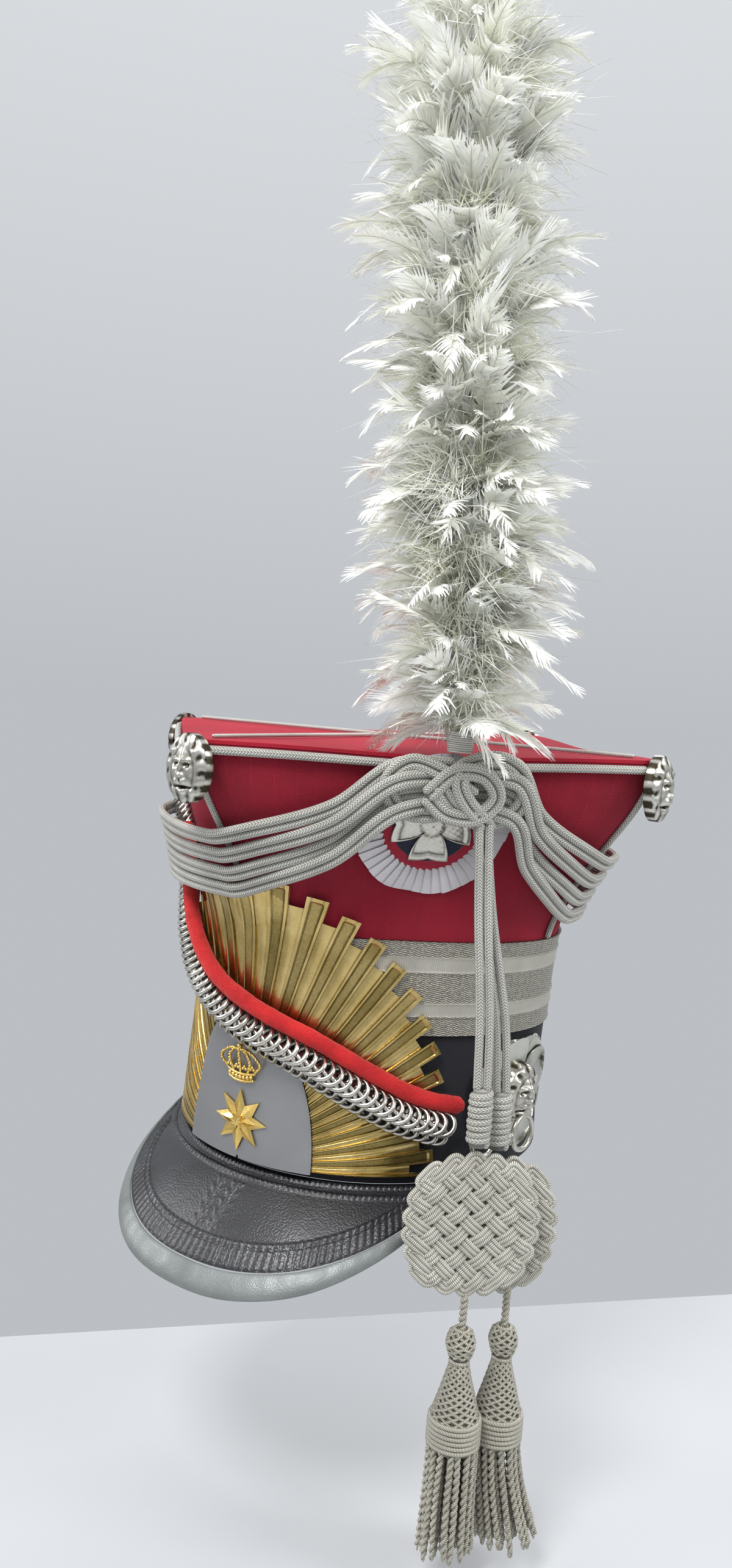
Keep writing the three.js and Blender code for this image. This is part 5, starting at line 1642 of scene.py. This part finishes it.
# Drop cords, hanging from the knot to the slides
def drop_route(number, hand, hang):
    start = beside_face(KNOT_FOOT["along"] + hand * KNOT_FOOT["spacing"] / 2,
                        KNOT_FOOT["out"] - number * KNOT_FOOT["spacing"], KNOT_FOOT["z"])
    end = beside_face(hang["along"] + hand * (DROP_RADIUS + GAP), hang["out"],
                      SLIDE["top"] - hang["drop"] + GAP)
    high, low = start + (end - start) * 0.3, start + (end - start) * 0.85
    high[2] = start[2] + (end[2] - start[2]) * 0.32
    low[2] = start[2] + (end[2] - start[2]) * 0.75
    return spaced(spline([start, high, low, end], 200), 1.0)


for number, hang in enumerate(HANGS):
    n = number + 1
    wound = make_cord(f"slide_{n}_wound", slide(hang), BRAID, f"slide_{n}")
    make_cord(f"flounder_{n}_woven", flounder(hang), GIMP, f"flounder_{n}")
    make_cord(f"tassel_{n}_bullion", tassel(hang, TASSEL_SEED + n), BULLION, f"tassel_{n}")
    for k, hand in enumerate((-1, 1)):
        route = drop_route(number, hand, hang)
        piece = Piece()
        piece.tube(route, DROP_RADIUS, 10)
        name = f"drop_cord_{2 * number + k + 1}"
        hanging = make_cord(f"{name}_braid", piece, BRAID, name)

# Camera at the photograph's viewing angle
CAMERA = {"azimuth": 35.66, "elevation": 3.60, "roll": 4.40, "distance": 0.70223}
CAMERA_TARGET = Vector((-0.01118, -0.00559, 0.19313))
FOCAL_PIXELS, LONG_SIDE_PIXELS = 2000, 2570

# Stage: pale floor below the tassels, pale surroundings, soft lights and the camera
FLOOR_Z = -0.192
FLOOR_BACK_EDGE = [(-0.463, -0.360), (0.404, 0.704)]
FLOOR_FORWARD = (0.852, -0.695)


def floor():
    mesh = bpy.data.meshes.new("floor")
    back = [(x, y, FLOOR_Z) for x, y in FLOOR_BACK_EDGE]
    front = [(x + FLOOR_FORWARD[0], y + FLOOR_FORWARD[1], FLOOR_Z) for x, y in FLOOR_BACK_EDGE]
    mesh.from_pydata([back[0], front[0], front[1], back[1]], [], [(0, 1, 2, 3)])
    look = Look("pale_floor", roughness=0.55)
    mesh.materials.append(look.finish(look.mix(look.noise(8, 3), (0.47, 0.48, 0.495), (0.52, 0.53, 0.545))))
    obj = bpy.data.objects.new("floor", mesh)
    bpy.context.scene.collection.objects.link(obj)


floor()


def surroundings():
    world = bpy.data.worlds.new("pale_room")
    bpy.context.scene.world = world
    world.use_nodes = True
    tree = world.node_tree
    back = tree.nodes["Background"]
    up = tree.nodes.new("ShaderNodeSeparateXYZ")
    tree.links.new(tree.nodes.new("ShaderNodeTexCoord").outputs["Generated"], up.inputs[0])
    ramp = tree.nodes.new("ShaderNodeValToRGB")
    tree.links.new(up.outputs[2], ramp.inputs[0])
    stops = ramp.color_ramp.elements
    stops[0].position, stops[0].color = 0.0, (0.50, 0.52, 0.545, 1)
    stops[1].position, stops[1].color = 1.0, (0.9, 0.92, 0.95, 1)
    tree.links.new(ramp.outputs[0], back.inputs["Color"])
    back.inputs["Strength"].default_value = 1.0


surroundings()


def softbox(name, place, target, size, power):
    data = bpy.data.lights.new(name, "AREA")
    data.shape, data.size, data.energy = "DISK", size, power
    obj = bpy.data.objects.new(name, data)
    obj.location = place
    obj.rotation_euler = (Vector(target) - Vector(place)).to_track_quat("-Z", "Y").to_euler()
    bpy.context.scene.collection.objects.link(obj)


# Lights: name, place, target, size, power
LIGHTS = [
    ("key_light", (0.2, -1.2, 1.5), (0, 0, 0.25), 0.6, 23),
    ("left_light", (-1.2, -0.8, 0.7), (0, 0, 0.2), 0.6, 8),
    ("right_light", (1.4, 0.3, 1.0), (0, 0, 0.2), 0.6, 11),
    ("rear_light", (-0.3, 1.3, 1.1), (0, 0, 0.25), 0.8, 9),
]
for light in LIGHTS:
    softbox(*light)
bpy.context.scene.view_settings.view_transform = "Standard"


def camera():
    data = bpy.data.cameras.new("camera")
    data.sensor_width = 36
    data.lens = data.sensor_width * FOCAL_PIXELS / LONG_SIDE_PIXELS
    a, e, r = (math.radians(CAMERA[k]) for k in ("azimuth", "elevation", "roll"))
    back = Vector((math.sin(a) * math.cos(e), -math.cos(a) * math.cos(e), math.sin(e)))
    right = (-back).cross(Vector((0, 0, 1))).normalized()
    up = right.cross(-back)
    right, up = right * math.cos(r) + up * math.sin(r), up * math.cos(r) - right * math.sin(r)
    place = CAMERA_TARGET + back * CAMERA["distance"]
    obj = bpy.data.objects.new("camera", data)
    obj.matrix_world = Matrix(((right.x, up.x, back.x, place.x), (right.y, up.y, back.y, place.y),
                               (right.z, up.z, back.z, place.z), (0, 0, 0, 1)))
    bpy.context.scene.collection.objects.link(obj)
    bpy.context.scene.camera = obj


camera()
